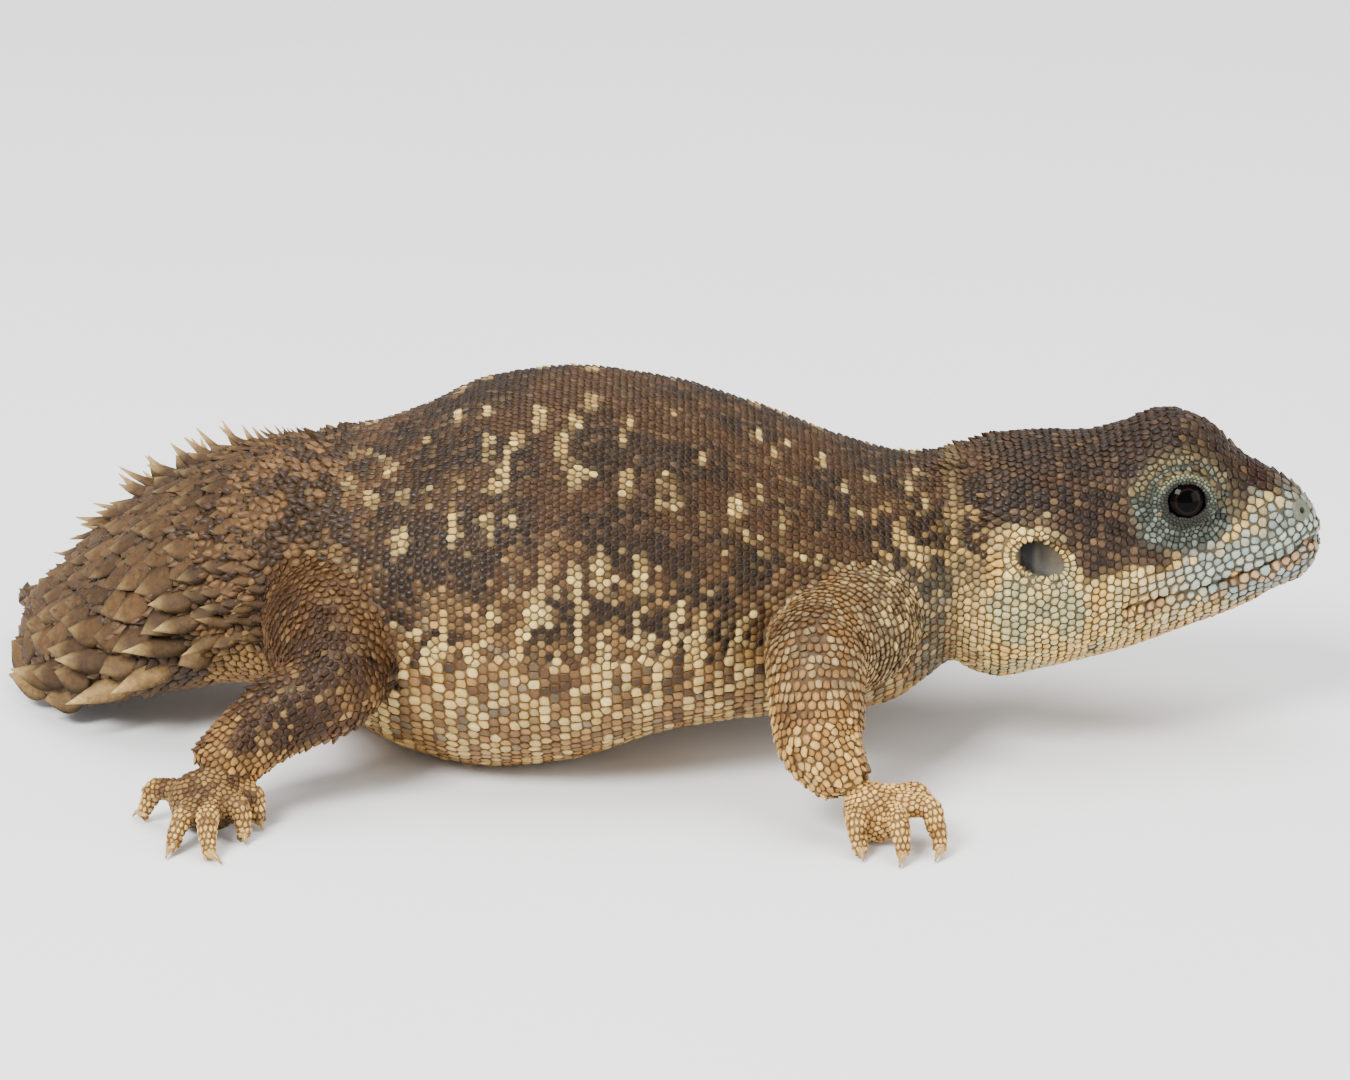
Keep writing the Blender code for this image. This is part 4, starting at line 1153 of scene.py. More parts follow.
    def head_tint(self, p: Array, seed: int) -> Array:
        """Colours of the head's plates by region."""
        chance = np.random.default_rng(seed)
        x, y, z = (p / MM).T
        any_ = chance.random(len(p))
        tone = ranked(cloud(p, 2.2 * MM, 9))
        fine = ranked(cloud(p, 0.9 * MM, 10) + any_ * 0.4)
        green = ease(0.45, 0.8, tone * 0.6 + fine * 0.4) * ease(47, 44, x)
        cheek = self.painted(
            self.c["cheek"],
            ("cheek_warm", ease(0.3, 0.8, any_)),
            ("cheek_green", "lip", any_ * 0.4, green * 0.75),
            ("lip", ease(0.45, 0.7, fine) * ease(47, 52, x) * 0.85),
        )
        temple = self.painted(
            self.c["crown_dark"],
            ("temple", ease(0.15, 0.8, fine)),
            ("back_light", ease(0.8, 0.97, any_) * 0.8),
        )
        crown = self.painted(
            self.c["crown_dark"],
            ("crown", ease(0.2, 0.8, fine)),
            ("back_light", ease(0.84, 0.98, any_) * 0.6),
        )
        dark = z - on_line(TEMPLE_LINE, x) + (any_ - 0.5) * 1.5 + (tone - 0.5) * 1.2
        tint = mixed(cheek, temple, ease(-0.7, 0.7, dark))
        tint = mixed(tint, crown, ease(-0.7, 0.7, z - on_line(CROWN_LINE, x)))
        muzzle = ease(54.5, 57.0, x) * ease(20.2, 18.6, z - (any_ - 0.5))
        orbit = ease(1.2, 1.0, np.hypot((x - 50.6) / 4.1, (z - 20.1) / 3.4)) * ease(3.0, 5.0, abs(y))
        chin = ease(0.6, -1.2, z - on_line(((44, 8.2), (60, 13.2)), x)) * ease(41, 46, x)
        throat = z - on_line(((34, 6.6), (40, 6.2)), x) + (any_ - 0.5)
        return self.painted(
            tint,
            ("snout", "lip", fine, muzzle * 0.8),
            ("brow_spot", ease(1.0, 0.6, np.hypot(x - 56.5, z - 21.0))),
            ("brow", "lid", ease(20.5, 17.5, z), orbit * 0.6),
            ("chin", "chin_pale", any_, chin * 0.85),
            ("flank_dark", "belly_brown", any_ * 0.6, ease(40.5, 38.0, x) * ease(0.6, -0.6, throat) * 0.85),
            ("back_dark", "back_light", any_, ease(38, 35, x) * ease(15, 19, z) * 0.7),
        )

    def lip_tint(self, p: Array, seed: int) -> Array:
        """Pale blue-grey upper lips, and lower ones with orange-brown middles."""
        any_ = np.random.default_rng(seed).random(len(p))
        x, z = p[:, 0] / MM, p[:, 2] / MM
        below = z < mouth_height(x)
        return self.painted(
            self.c["lip"],
            ("lip_pale", any_),
            ("cheek_warm", ease(52, 47, x + (any_ - 0.5) * 4) * 0.8),
            ("chin", "chin_pale", any_ * 0.7, below * ease(0.3, 0.65, any_) * 0.75),
        )

    def lid_tint(self, p: Array, seed: int) -> Array:
        """Blue-green granules, darker near the lids' edge, yellowish above."""
        chance = np.random.default_rng(seed)
        away = p * (1, 0, 1) - EYE_PLACE * (1, 0, 1)
        far, high = np.linalg.norm(away, axis=1) / MM, away[:, 2] / MM
        blue = ranked(cloud(p, 0.7 * MM, 19) + chance.random(len(p)) * 0.6)
        lid = self.painted(self.c["lid_dark"], ("lid", ease(0.35, 0.8, blue)))
        over = ease(0.0, 1.3, high)
        return self.painted(
            mixed(self.c["lid_edge"], lid, ease(1.6, 2.1, far)),
            ("cheek_green", over * ease(1.85, 2.0, far) * ease(2.4, 2.2, far) * 0.45),
            ("brow", over * ease(2.75, 3.05, far) * 0.85),
        )

    def limb_tint(self, p: Array, seed: int) -> Array:
        """Tan-brown forelegs with pale scales, and darker, banded hind legs."""
        any_ = np.random.default_rng(seed).random(len(p))
        x, z = p[:, 0] / MM, p[:, 2] / MM
        tone = ranked(cloud(p, 2.4 * MM, 12) + any_ * 0.15)
        dark, ankle, thigh = ease(0.5, 0.9, tone), ease(6.5, 4.0, z), ease(8, 11, z)
        fore = self.painted(
            self.c["arm"],
            ("arm_dark", dark * 0.7),
            ("arm_pale", ease(0.2, 0.95, any_) * (1 - 0.6 * dark) * 0.7),
            ("arm_dark", "flank_grey", any_, ease(8, 13, z) * (x >= 0) * 0.6),
            ("flank_grey", "cream", ease(0.55, 0.85, any_), ease(25.0, 27.5, x) * ease(4.5, 8, z) * 0.5),
        )
        hind = self.painted(
            self.c["shin_dark"],
            ("shin", ease(0.2, 0.6, tone)),
            ("arm", np.clip(ease(0.6, 0.95, tone) * (0.45 - 0.35 * thigh) + ankle * 0.45, 0, 1)),
            ("arm_pale", ease(0.7, 0.98, any_) * (0.3 + 0.2 * ankle - 0.18 * thigh)),
        )
        return np.where((x < 0)[:, None], hind, fore)

    def foot_tint(self, p: Array, seed: int) -> Array:
        """Pale tan toes, with brown bands on the hind feet."""
        any_ = np.random.default_rng(seed).random(len(p))
        fine = ranked(cloud(p, 0.9 * MM, 8) + any_ * 0.2)
        palms = np.array([leg.hand.centre for leg in LEGS])
        far = np.linalg.norm((p[:, None] - palms) * (1, 1, 0.5), axis=2).min(1) / MM
        brown = ease(4.8, 2.6, far) * 0.75 + 0.4 * ease(0.55, 0.8, fine)
        return self.painted(
            self.c["foot"],
            ("arm_pale", any_ * 0.6),
            ("arm", ease(0.5, 0.85, fine) * 0.8),
            ("shin", (p[:, 0] < 0) * np.clip(brown, 0, 0.95)),
        )

    def shield_tint(self, p: Array, seed: int) -> Array:
        """Brown plates of the tail, uneven from plate to plate, paler beneath."""
        any_ = np.random.default_rng(seed).random(len(p))
        tone = ranked(cloud(p, 3 * MM, 5) + any_ * 0.5)
        under = ease(95, 120, self.body.degrees(p)) * 0.8
        return self.painted(self.c["plate_dark"], ("plate", 0.2 + 0.7 * tone), ("under", under))


@dataclass(frozen=True)
class RowPlan:
    """Rows of scales across a stretch of the body.

    Attributes:
        start, end: x of the stretch's ends, in millimetres.
        step: distance between rows, in millimetres.
        widths: angle in degrees from the back, and the scales' spacing there in millimetres.
        jitter: how far the scales stray, as a share of the spacing.
        tall: how high they stand, in millimetres.
        turns: the least and greatest angle from the back, in degrees.
        shift: how far each row is moved round from the one before, as a share of the spacing.
    """

    start: float
    end: float
    step: float
    widths: tuple
    jitter: float = 0.08
    tall: float = 0.13
    turns: tuple = (0.0, 180.0)
    shift: float = 0.5


class Sower:
    """Sets out rows and rings of scale roots over the skin, thins them and fills what stays bare."""

    def __init__(self, skin: Skin) -> None:
        self.skin, self.form = skin, skin.inner
        self.charts = [self.form]
        for leg in LEGS:
            self.charts += [leg.limb, leg.hand, *leg.digits]

    def rooted(
        self, p: Array, lie: Array, size: tuple, coat: int, chart: int, reach: tuple = (-0.4, 1.0)
    ) -> Roots:
        """Moves roots onto the skin, and drops those buried in it or far off it.

        The size is long, wide and tall, and reach the heights over the skin that are kept, in millimetres.
        """
        spot, out, off = self.skin.seat(p)
        full = [np.broadcast_to(np.asarray(v) * MM, len(p)).astype(float) for v in size]
        ids = [np.full(len(p), k) for k in (coat, chart)]
        roots = Roots(spot, out, lie, *full, np.zeros(len(p)), *ids)
        return roots.kept((off > reach[0] * MM) & (off < reach[1] * MM))

    def rows(self, plan: RowPlan, coat: int, seed: int) -> Roots:
        """Rows across the body, counted from the middle of the flank and each moved round from the last."""
        chance = np.random.default_rng(seed)
        start, end = self.form.place_of(np.array((plan.start, plan.end)) * MM)
        angles = np.linspace(0.0, np.pi, 240)
        spacing = np.interp(np.degrees(angles), *zip(*plan.widths))
        places, turns = [], []
        for k, place in enumerate(np.arange(start, end, plan.step * MM)):
            line = self.form.points(np.full(len(angles), place), angles)
            run = np.linalg.norm(np.diff(line, axis=0), axis=1) / MM
            count = np.concatenate([[0], np.cumsum(run / ((spacing[1:] + spacing[:-1]) / 2))])
            count -= np.interp(np.pi / 2, angles, count)
            move = (k * plan.shift) % 1.0
            j = np.arange(math.ceil(count[0] - move), count[-1]) + move
            angle = np.interp(j, count, angles)
            first, last = np.radians(plan.turns)
            angle = angle[(angle >= first) & (angle <= last)]
            for side in (RIGHT, LEFT):
                turns.append(angle * side)
                places.append(np.full(len(angle), place))
        place, turn = np.concatenate(places), np.concatenate(turns)
        wide = np.interp(abs(turn), angles, spacing)
        place = place + chance.normal(0, plan.jitter, len(place)) * plan.step * MM
        girth = np.maximum(self.form.section(place)[:, 3], 1 * MM)
        turn = turn + chance.normal(0, plan.jitter, len(place)) * wide * MM / girth
        p = self.form.points(place, turn)
        lie = unit(self.form.points(place + 0.1 * MM, turn) - p)
        return self.rooted(p, lie, (plan.step, wide, plan.tall), coat, 0)

    def rings(self, chart: int, size: tuple, coat: int, span: tuple, seed: int) -> Roots:
        """Rings of scales round one tube, each half a scale out of step with the last."""
        step, wide, _ = size
        chance = np.random.default_rng(seed)
        tube = self.charts[chart]
        number = max(2, int((span[1] - span[0]) * tube.length / (step * MM)))
        shares, turns = [], []
        for k in range(number):
            share = span[0] + (span[1] - span[0]) * (k + 0.5) / number
            count = max(5, round(tube.girth(share) / (wide * MM)))
            turns.append((np.arange(count) + 0.5 * (k % 2)) * 2 * np.pi / count)
            shares.append(np.full(count, share))
        share, turn = np.concatenate(shares), np.concatenate(turns)
        share = np.clip(share + chance.normal(0, 0.06 * step * MM / tube.length, len(share)), 0, 1)
        p, run = tube.points(share, turn + chance.normal(0, 0.04, len(turn)), shrink=0.1 * MM)
        return self.rooted(p, run, size, coat, chart)

    def ball(self, chart: int, size: float, tall: float, coat: int) -> Roots:
        """Evenly spread scales on a palm, by the golden angle."""
        palm = self.charts[chart]
        n = int(4 * np.pi * np.prod(palm.half) ** (2 / 3) / (size * MM) ** 2)
        k = np.arange(n)
        lat = np.arccos(1 - 2 * (k + 0.5) / n)
        p = palm.points(lat, k * GOLDEN_ANGLE, shrink=SKIN_DEPTH)
        return self.rooted(p, palm.lie(p), (size, size, tall), coat, chart)

    def thinned_and_filled(self, roots: Roots, bare: Callable, seed: int) -> Roots:
        """Drops crowded scales, then adds copies of the nearest one wherever the skin lies open."""
        roots = roots.thinned()
        chance = np.random.default_rng(seed)
        co = points_of(self.skin.object.data)
        normals = np.empty(len(co) * 3)
        self.skin.object.data.vertices.foreach_get("normal", normals)
        open_skin = ~bare(co) & (co[:, 2] > 0.25 * MM)
        co, normals = co[open_skin], normals.reshape(-1, 3)[open_skin]
        tree, size = roots.tree(), roots.size
        found = [tree.find(p)[1:] for p in co]
        near, off = (np.array([f[k] for f in found]) for k in (0, 1))
        free = np.flatnonzero(off > OPEN_SKIN * size[near])
        picked = np.empty((0, 3))
        rows = []
        for i in free[chance.permutation(len(free))]:
            least = FILL_APART * size[near[i]]
            if not len(picked) or np.linalg.norm(picked - co[i], axis=1).min() > least:
                picked = np.vstack([picked, co[i]])
                rows.append(i)
        rows = np.array(rows, int)
        extra = roots.kept(near[rows])
        extra.foot, extra.out = co[rows], normals[rows]
        log.info("coat: %d scales set out, %d filled in", len(size), len(rows))
        return Roots.joined([roots, extra])

    def squared(self, roots: Roots) -> Roots:
        """Lays every scale's direction square to its normal."""
        roots.lie = unit(roots.lie - roots.out * (roots.lie * roots.out).sum(1)[:, None])
        return roots

    def wrap(self, roots: Roots) -> Array:
        """Every root's place on the unwrap of the part that it grows on."""
        wrap = np.zeros((len(roots.foot), 2))
        for number in np.unique(roots.chart):
            rows = roots.chart == number
            wrap[rows] = self.charts[number].unwrapped(roots.foot[rows])
        return wrap


KEELED = ScaleShape(sides=8, keel=0.25, tip=0.45)
FLAT = ScaleShape(sides=8, keel=0.08, tip=0.1, fill=0.95)
GRANULE = ScaleShape(sides=6, keel=0.2, tip=0.1, fill=0.97)
# Scales are keratin, a dry horn: a soft sheen on the keels, broken up by fine wear. The lids' and
# rump's are dull, while the lips' are smoother and catch more light.
COATS = tuple(
    CoatPlan(name, shape, slot, Finish(**finish), seam)
    for name, shape, slot, seam, finish in (
        ("lid_scales", GRANULE, "head_scales", "#2b2a20", dict(rough=0.5, mottle=0.14)),
        ("lip_scales", FLAT, "head_scales", "#4a3823", dict(rough=0.4, mottle=0.14)),
        ("head_scales", FLAT, "head_scales", "#3d2c1b",
         dict(rough=0.42, mottle=0.28, mottle_mm=0.35, gloss=0.22)),
        ("toe_scales", GRANULE, "leg_scales", "#6d4c2c", dict(rough=0.45, mottle=0.16)),
        ("leg_scales", KEELED, "leg_scales", "#5f432a", dict(rough=0.45, mottle=0.25, gloss=0.22)),
        ("back_scales", KEELED, "body_scales", "#5e4a36",
         dict(rough=0.42, mottle=0.3, mottle_mm=0.4, gloss=0.22)),
        ("belly_scales", FLAT, "body_scales", "#745533", dict(rough=0.46, mottle=0.22)),
        ("shield_scales", KEELED, "shield_plates", "#2f2114", dict(rough=0.5, mottle=0.25)),
    )
)
LIDS, LIPS, HEAD, TOES, LIMBS, BACK, BELLY, SHIELD = range(len(COATS))


@dataclass
class Agama:
    """The whole animal: skin, coat, tail shield, claws, eyes and nostrils.

    Attributes:
        flesh: the nodes that the skin stands for.
        body: its outer form.
        parts: every finished object.
    """

    flesh: Sequence[str] = ()
    body: BodyForm = field(default_factory=BodyForm)
    parts: list = field(default_factory=list)

    def build(self) -> None:
        """Makes and dresses every part."""
        self.skin = Skin()
        self.marks = Markings(Palette(), self.body)
        self.sower = Sower(self.skin)
        roots = Roots.joined([*self.head_roots(), *self.leg_roots(), *self.body_roots()])
        roots = roots.kept(~self.bare(roots.foot) | (roots.coat == LIDS))
        roots = self.sower.squared(self.sower.thinned_and_filled(roots, self.bare, 5))
        self.roughen(roots)
        tint = self.coat(roots)
        self.parts += TailPlates(self.body, self.marks).build()
        self.make_claws()
        self.make_eyes()
        self.make_nostrils()
        self.dress_skin(roots, tint)

    def bare(self, points: Array) -> Array:
        """Which points lie in an eye, an ear, a nostril or the slit of the mouth."""
        x, z = points[:, 0] / MM, points[:, 2] / MM
        found = (abs(z - mouth_height(x)) < MOUTH_SLIT) & (x > MOUTH_LINE[0][0])
        nostril = np.hypot(x - NOSTRIL_SPOT[0], z - NOSTRIL_SPOT[1]) < NOSTRIL_BARE
        found |= nostril & (abs(points[:, 1]) > 1.2 * MM)
        for side in (RIGHT, LEFT):
            flat, depth = EyeForm(side).flat(points)
            found |= (flat < EYE_BARE) & (depth > -1 * MM)
            found |= EarForm(self.skin.inner, side).apart(points) < 1.0
        return found

    def body_roots(self) -> list[Roots]:
        """Neck, back, flanks, belly, rump and the tail's fine scales."""
        plans = (
            RowPlan(35.2, 29.6, 0.56, ((0, 0.66), (90, 0.58), (180, 0.7)), jitter=0.12, tall=0.14),
            RowPlan(29.6, -13.0, 0.54, ((0, 0.58), (60, 0.58), (94, 0.62)), tall=0.11, turns=(0, 93)),
            RowPlan(
                29.6, -13.0, 0.76, ((93, 0.7), (106, 0.84), (126, 1.0), (180, 1.05)),
                tall=0.12, turns=(94, 180), shift=0.3,
            ),
            RowPlan(-13.0, -22.0, 0.68, ((0, 0.74), (90, 0.7), (180, 0.8)), jitter=0.24, tall=0.22),
        )
        found = [self.sower.rows(plan, BACK, 40 + i) for i, plan in enumerate(plans)]
        for roots in found:
            roots.coat[self.body.degrees(roots.foot) > 94] = BELLY
        tail = RowPlan(-22.0, -40.8, 0.85, ((0, 0.95), (90, 0.85), (180, 0.85)), jitter=0.2, tall=0.2)
        return [*found, self.sower.rows(tail, SHIELD, 44)]

    def head_roots(self) -> list[Roots]:
        """Lids, ears' rims, lips and head plates."""
        chance = np.random.default_rng(31)
        parts = []
        for side in (RIGHT, LEFT):
            parts += self.lid_roots(EyeForm(side), chance)
            parts += self.ear_roots(EarForm(self.skin.inner, side))
            parts += [self.lip_roots(side, *row) for row in LIP_ROWS]
        plans = (
            RowPlan(61.3, 46.4, 0.68, ((0, 0.8), (60, 0.74), (90, 0.7), (180, 0.64)), jitter=0.13, tall=0.13),
            RowPlan(46.4, 35.2, 0.6, ((0, 0.72), (60, 0.66), (95, 0.6), (180, 0.6)), jitter=0.11, tall=0.13),
        )
        return [*parts, *(self.sower.rows(plan, HEAD, 80 + i) for i, plan in enumerate(plans))]

    def lid_roots(self, eye: EyeForm, chance: np.random.Generator) -> list[Roots]:
        """Rings of granules round one eye."""
        made = []
        for k, (radius, size) in enumerate(LID_RINGS):
            turn = self.ring_turns(round(2 * np.pi * radius * 1.06 / size), k)
            turn += chance.normal(0, 0.14 * size / radius, len(turn))
            far = (radius + chance.normal(0, 0.1 * size, len(turn))) * MM
            p = eye.ring(turn, far, np.full(len(turn), (1.75 if k < 4 else 1.2) * MM))
            lie = unit(eye.ring(turn + 0.1, 1.0, 0.0) - eye.ring(turn, 1.0, 0.0))
            made.append(self.sower.rooted(p, lie, (size, size, size * 0.3), LIDS, 0, (-3, 3)))
        return made

    def ear_roots(self, ear: EarForm) -> list[Roots]:
        """Two rings of small plates round one ear."""
        made = []
        for k, (grow, size) in enumerate(EAR_RINGS):
            turn = self.ring_turns(round(2 * np.pi * 1.6 * grow / size), k)
            across, high = np.cos(turn) * EAR_HALF[0] * grow, np.sin(turn) * EAR_HALF[1] * grow
            p = ear.spot + np.stack([across, 0 * across, high - EAR_LEAN * across], -1)
            lie = np.stack([-np.sin(turn), 0 * turn, np.cos(turn)], -1)
            made.append(self.sower.rooted(p, lie, (size, size, 0.12), HEAD, 0, (-3, 3)))
        return made

    def lip_roots(self, side: int, rise: float, size: float, tall: float) -> Roots:
        """One row of plates along a lip."""
        x = np.linspace(46.0, 61.0, 200)
        p, _ = self.skin.inner.at_height(x, mouth_height(x, 15.75) + rise, side)
        run = run_along(p)
        count = round(run[-1] / (size * MM))
        at = (np.arange(count) + (0.5 if rise > 0 else 0.25)) * run[-1] / count
        ahead = unit(read_rows(at, run, np.gradient(p, axis=0)))
        return self.sower.rooted(read_rows(at, run, p), -ahead, (size, tall, 0.15), LIPS, 0, (-0.6, 0.9))

    @staticmethod
    def ring_turns(count: int, k: int) -> Array:
        """Even turns round ring k, every other ring half a step round."""
        return (np.arange(count) + 0.5 * (k % 2)) * 2 * np.pi / count

    def leg_roots(self) -> list[Roots]:
        """Toes, palms and limbs."""
        feet, limbs, chart = [], [], 1
        for leg in LEGS:
            limbs.append(self.sower.rings(chart, (0.58, 0.6, 0.14), LIMBS, (0.08, 1.0), 100 + chart))
            feet.append(self.sower.ball(chart + 1, 0.5, 0.12, TOES))
            for k in range(len(leg.digits)):
                toe = self.sower.rings(chart + 2 + k, (0.42, 0.44, 0.11), TOES, (0.08, 0.8), 130 + chart + k)
                feet.insert(0, toe)
            chart += 2 + len(leg.digits)
        return [*feet, *limbs]

    def roughen(self, roots: Roots) -> None:
        """Draws some scales up to points: on the back, nape, rump and legs."""
        chance = np.random.default_rng(90)
        x, z = roots.foot[:, 0] / MM, roots.foot[:, 2] / MM
        degrees = self.body.degrees(roots.foot)
        any_ = chance.random(len(x))
        body, limb = roots.chart == 0, roots.coat == LIMBS
        tuft = ease(0.6, 0.9, ranked(cloud(roots.foot, 1.3 * MM, 91)))
        spikes = (
            0.25 * body * (degrees < 70) * (any_ > 0.6),
            body * ease(40, 36, x) * ease(29, 33, x) * (degrees < 80) * tuft,
            body * ease(-8, -14, x) * (degrees < 100) * ease(0.4, 0.9, any_) * 0.9,
            (limb & (x < 0)) * ease(0.86, 0.97, any_) * 0.9,
            limb * (any_ > 0.5) * 0.25,
        )
        blunt = np.isin(roots.coat, (LIDS, LIPS, TOES, BELLY)) | (z < 0.6)
        roots.spike = np.where(blunt, 0.0, np.max(spikes, axis=0))

    def coat(self, roots: Roots) -> Array:
        """Colours and lays every coat, and returns the colours."""
        m = self.marks
        ways = (
            ((BACK, BELLY), m.body_tint, 50),
            ((LIDS,), m.lid_tint, 60 + LIDS),
            ((LIPS,), m.lip_tint, 60 + LIPS),
            ((HEAD,), m.head_tint, 60 + HEAD),
            ((TOES,), m.foot_tint, 60 + TOES),
            ((LIMBS,), m.limb_tint, 60 + LIMBS),
            ((SHIELD,), m.shield_tint, 60 + SHIELD),
        )
        tint, wrap = np.zeros((len(roots.foot), 3)), self.sower.wrap(roots)
        for coats, way, seed in ways:
            rows = np.isin(roots.coat, coats)
            tint[rows] = way(roots.foot[rows], seed)
        tint *= np.clip(np.random.default_rng(77).normal(1, 0.17, len(tint)), 0.5, 1.5)[:, None]
        pale = ease(0.2, 0.38, tint @ LUMINANCE)
        grow = 1 + 0.3 * pale
        roots.long, roots.wide, roots.tall = (v * grow for v in (roots.long, roots.wide, roots.tall))
        outlines = {sides: roots.outlines(sides) for sides in (6, 8)}
        for number, plan in enumerate(COATS):
            rows = np.flatnonzero(roots.coat == number)
            given = roots.kept(rows), outlines[plan.shape.sides][rows], tint[rows], wrap[rows]
            self.parts += Coat(plan).lay(*given, 300 + number * 10)
        return tint

    def make_claws(self) -> None:
        """Curved claws at the ends of the toes."""
        forms, tint = [], []
        for leg in LEGS:
            for j, toe in enumerate(leg.toes):
                knuckle, pad, tip = (np.array(v) for v in toe[1:])
                tip = pad + (tip - pad) * 0.82
                middle = (pad + tip) / 2 + (0, 0, 0.22)
                path = np.array((pad - (pad - knuckle) * 0.12, pad + (0, 0, 0.1), middle, tip))
                tube = Tube(leg.placed(path), CLAW_RADII * MM)
                share, turn = spans((0, 1, 9), 8)
                grid = tube.points(share, turn, flat=1.15)[0]
                grid[..., 2] = np.maximum(grid[..., 2], 0)
                forms.append(closed_grid(grid))
                shade = 1.0 if (leg.name, j) == ("fore", 3) else 0.3
                cover = shade * ease(0.25, 0.75, share).ravel()
                tint.append(self.marks.painted(self.marks.c["claw"], ("claw_dark", cover)))
        mesh = smooth_mesh("claws", *stacked(forms))
        set_tint(mesh, np.concatenate(tint))
        # Bare keratin worn smooth by the ground, so glossier than the scales.
        horn = Finish(rough=0.28, mottle=0.1, bump=0.004, coat=0.3)
        self.finish(linked("claws", mesh), "leg_scales", horn)

    def make_eyes(self) -> None:
        """Eyeballs with a black pupil, a thin brown ring and a dark grey iris."""
        for side, word in ((RIGHT, "right"), (LEFT, "left")):
            eye = EyeForm(side)
            lat, lon = np.meshgrid(
                np.concatenate([np.linspace(0.01, 1.0, 60), np.linspace(1.05, np.pi - 0.02, 20)]),
                even_turns(48), indexing="ij",
            )
            ring = eye.ahead * np.cos(lon)[..., None] + eye.up * np.sin(lon)[..., None]
            spoke = eye.out * np.cos(lat)[..., None] + ring * np.sin(lat)[..., None]
            verts, faces = closed_grid(eye.centre + EYE_RADIUS * spoke)
            at = np.degrees(lat).ravel() + (cloud(verts, 0.22 * MM, 6) - 0.5) * 3
            tint = self.marks.painted(
                self.marks.c["pupil"],
                ("iris_ring", ease(23.0, 24.5, at)),
                ("iris", ease(26.0, 28.5, at)),
                ("pupil", ease(38, 46, at)),
            )
            mesh = smooth_mesh("eye", verts, faces)
            set_tint(mesh, tint)
            ball = linked(f"eyeball_{word}", mesh)
            # A wet cornea over a dark iris: one small sharp highlight on black.
            wet = Finish(rough=0.06, rough_vary=0.01, mottle=0.06, bump=0.0, gloss=0.05)
            self.finish(ball, "eye", wet)
            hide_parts(f"eye_{word}")

    def make_nostrils(self) -> None:
        """A slightly uneven round scale on each side of the snout, its opening a dark disc of painted shade.
        """
        forms, tint = [], []
        c = self.marks.c
        rim = mixed(c["lid"], c["snout"], 0.5)
        for side in (RIGHT, LEFT):
            spot, out = self.skin.inner.at_height([NOSTRIL_SPOT[0]], [NOSTRIL_SPOT[1]], side)
            spot, _, _ = self.skin.seat(spot)
            out = out[0]
            up = upright(out)
            ahead = np.cross(up, out)
            radius, height = NOSTRIL_RADII[:, None], NOSTRIL_HEIGHTS[:, None, None]
            turn = even_turns(20)
            ring = ahead * np.cos(turn)[:, None] + up * np.sin(turn)[:, None]
            uneven = 1 + np.minimum(radius / MM, 1) * 0.09 * np.cos(5 * turn + 0.6)[None]
            forms.append(closed_grid(spot[0] + ring[None] * (radius * uneven)[..., None] + out * height))
            # Painted shade: the nostril's opening is a near-black disc painted on the scale's middle, which
            # is raised, not hollowed.
            share = np.repeat(ease(0.2, 0.32, NOSTRIL_RADII / MM), len(turn))
            tint.append(mixed(c["nostril"], rim, share))
        mesh = smooth_mesh("nostril_scales", *stacked(forms))
        set_tint(mesh, np.concatenate(tint))
        dull = Finish(rough=0.45, mottle=0.2, mottle_mm=0.3)
        self.finish(linked("nostril_scales", mesh), "head_scales", dull)

    def finish(self, made: bpy.types.Object, slot: str, finish: Finish) -> None:
        """Dresses a separate part and ties it to the frame."""
        made.data.materials.append(scaly_material(made.name + "_look", finish))
        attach(made, "root")
        self.parts.append(made)

    def dress_skin(self, roots: Roots, tint: Array) -> None:
        """Colours the skin like the scales over it, but darker, paints shade into the fronts of the ear
        openings and the eye hollows, and stands it for the flesh nodes.
        """
        tree, c = roots.tree(), self.marks.c
        skin = self.skin.object
        co = points_of(skin.data)
        nearest = np.array([tree.find(p)[1] for p in co])
        seams = np.array([hexed(plan.seam) for plan in COATS]) * 0.75
        colour = mixed(tint[nearest] * 0.5, seams[roots.coat[nearest]], np.full(len(co), 0.6))
        for side in (RIGHT, LEFT):
            ear = EarForm(self.skin.inner, side)
            inside = ear.apart(co) < 0.97
            along = (co[:, 0] - ear.spot[0]) / MM
            # Painted shade: the deeper front of each ear opening is near black, grading to the drum's own
            # colour behind, with a narrow paler band across the middle.
            shade = 0.7 * ease(-0.1, 1.2, along) + 0.75 * np.exp(-(((along + 0.05) / 0.16) ** 2))
            drum = mixed(c["ear_dark"], c["drum"], np.clip(shade, 0, 1))
            colour = np.where(inside[:, None], drum, colour)
            # Painted shade: the skin in each eye's hollow, in the crease where the lids meet the eyeball, is
            # painted near black.
            flat, depth = EyeForm(side).flat(co)
            colour = np.where(((flat < 1.4 * MM) & (depth > 0))[:, None], c["socket"], colour)
        set_tint(skin.data, colour)
        # Thin dry skin between the scales: matt, and darker than the horn over it.
        dry = Finish(rough=0.6, mottle=0.2, mottle_mm=0.4)
        self.finish(skin, "body_scales", dry)
        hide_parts(*self.flesh)


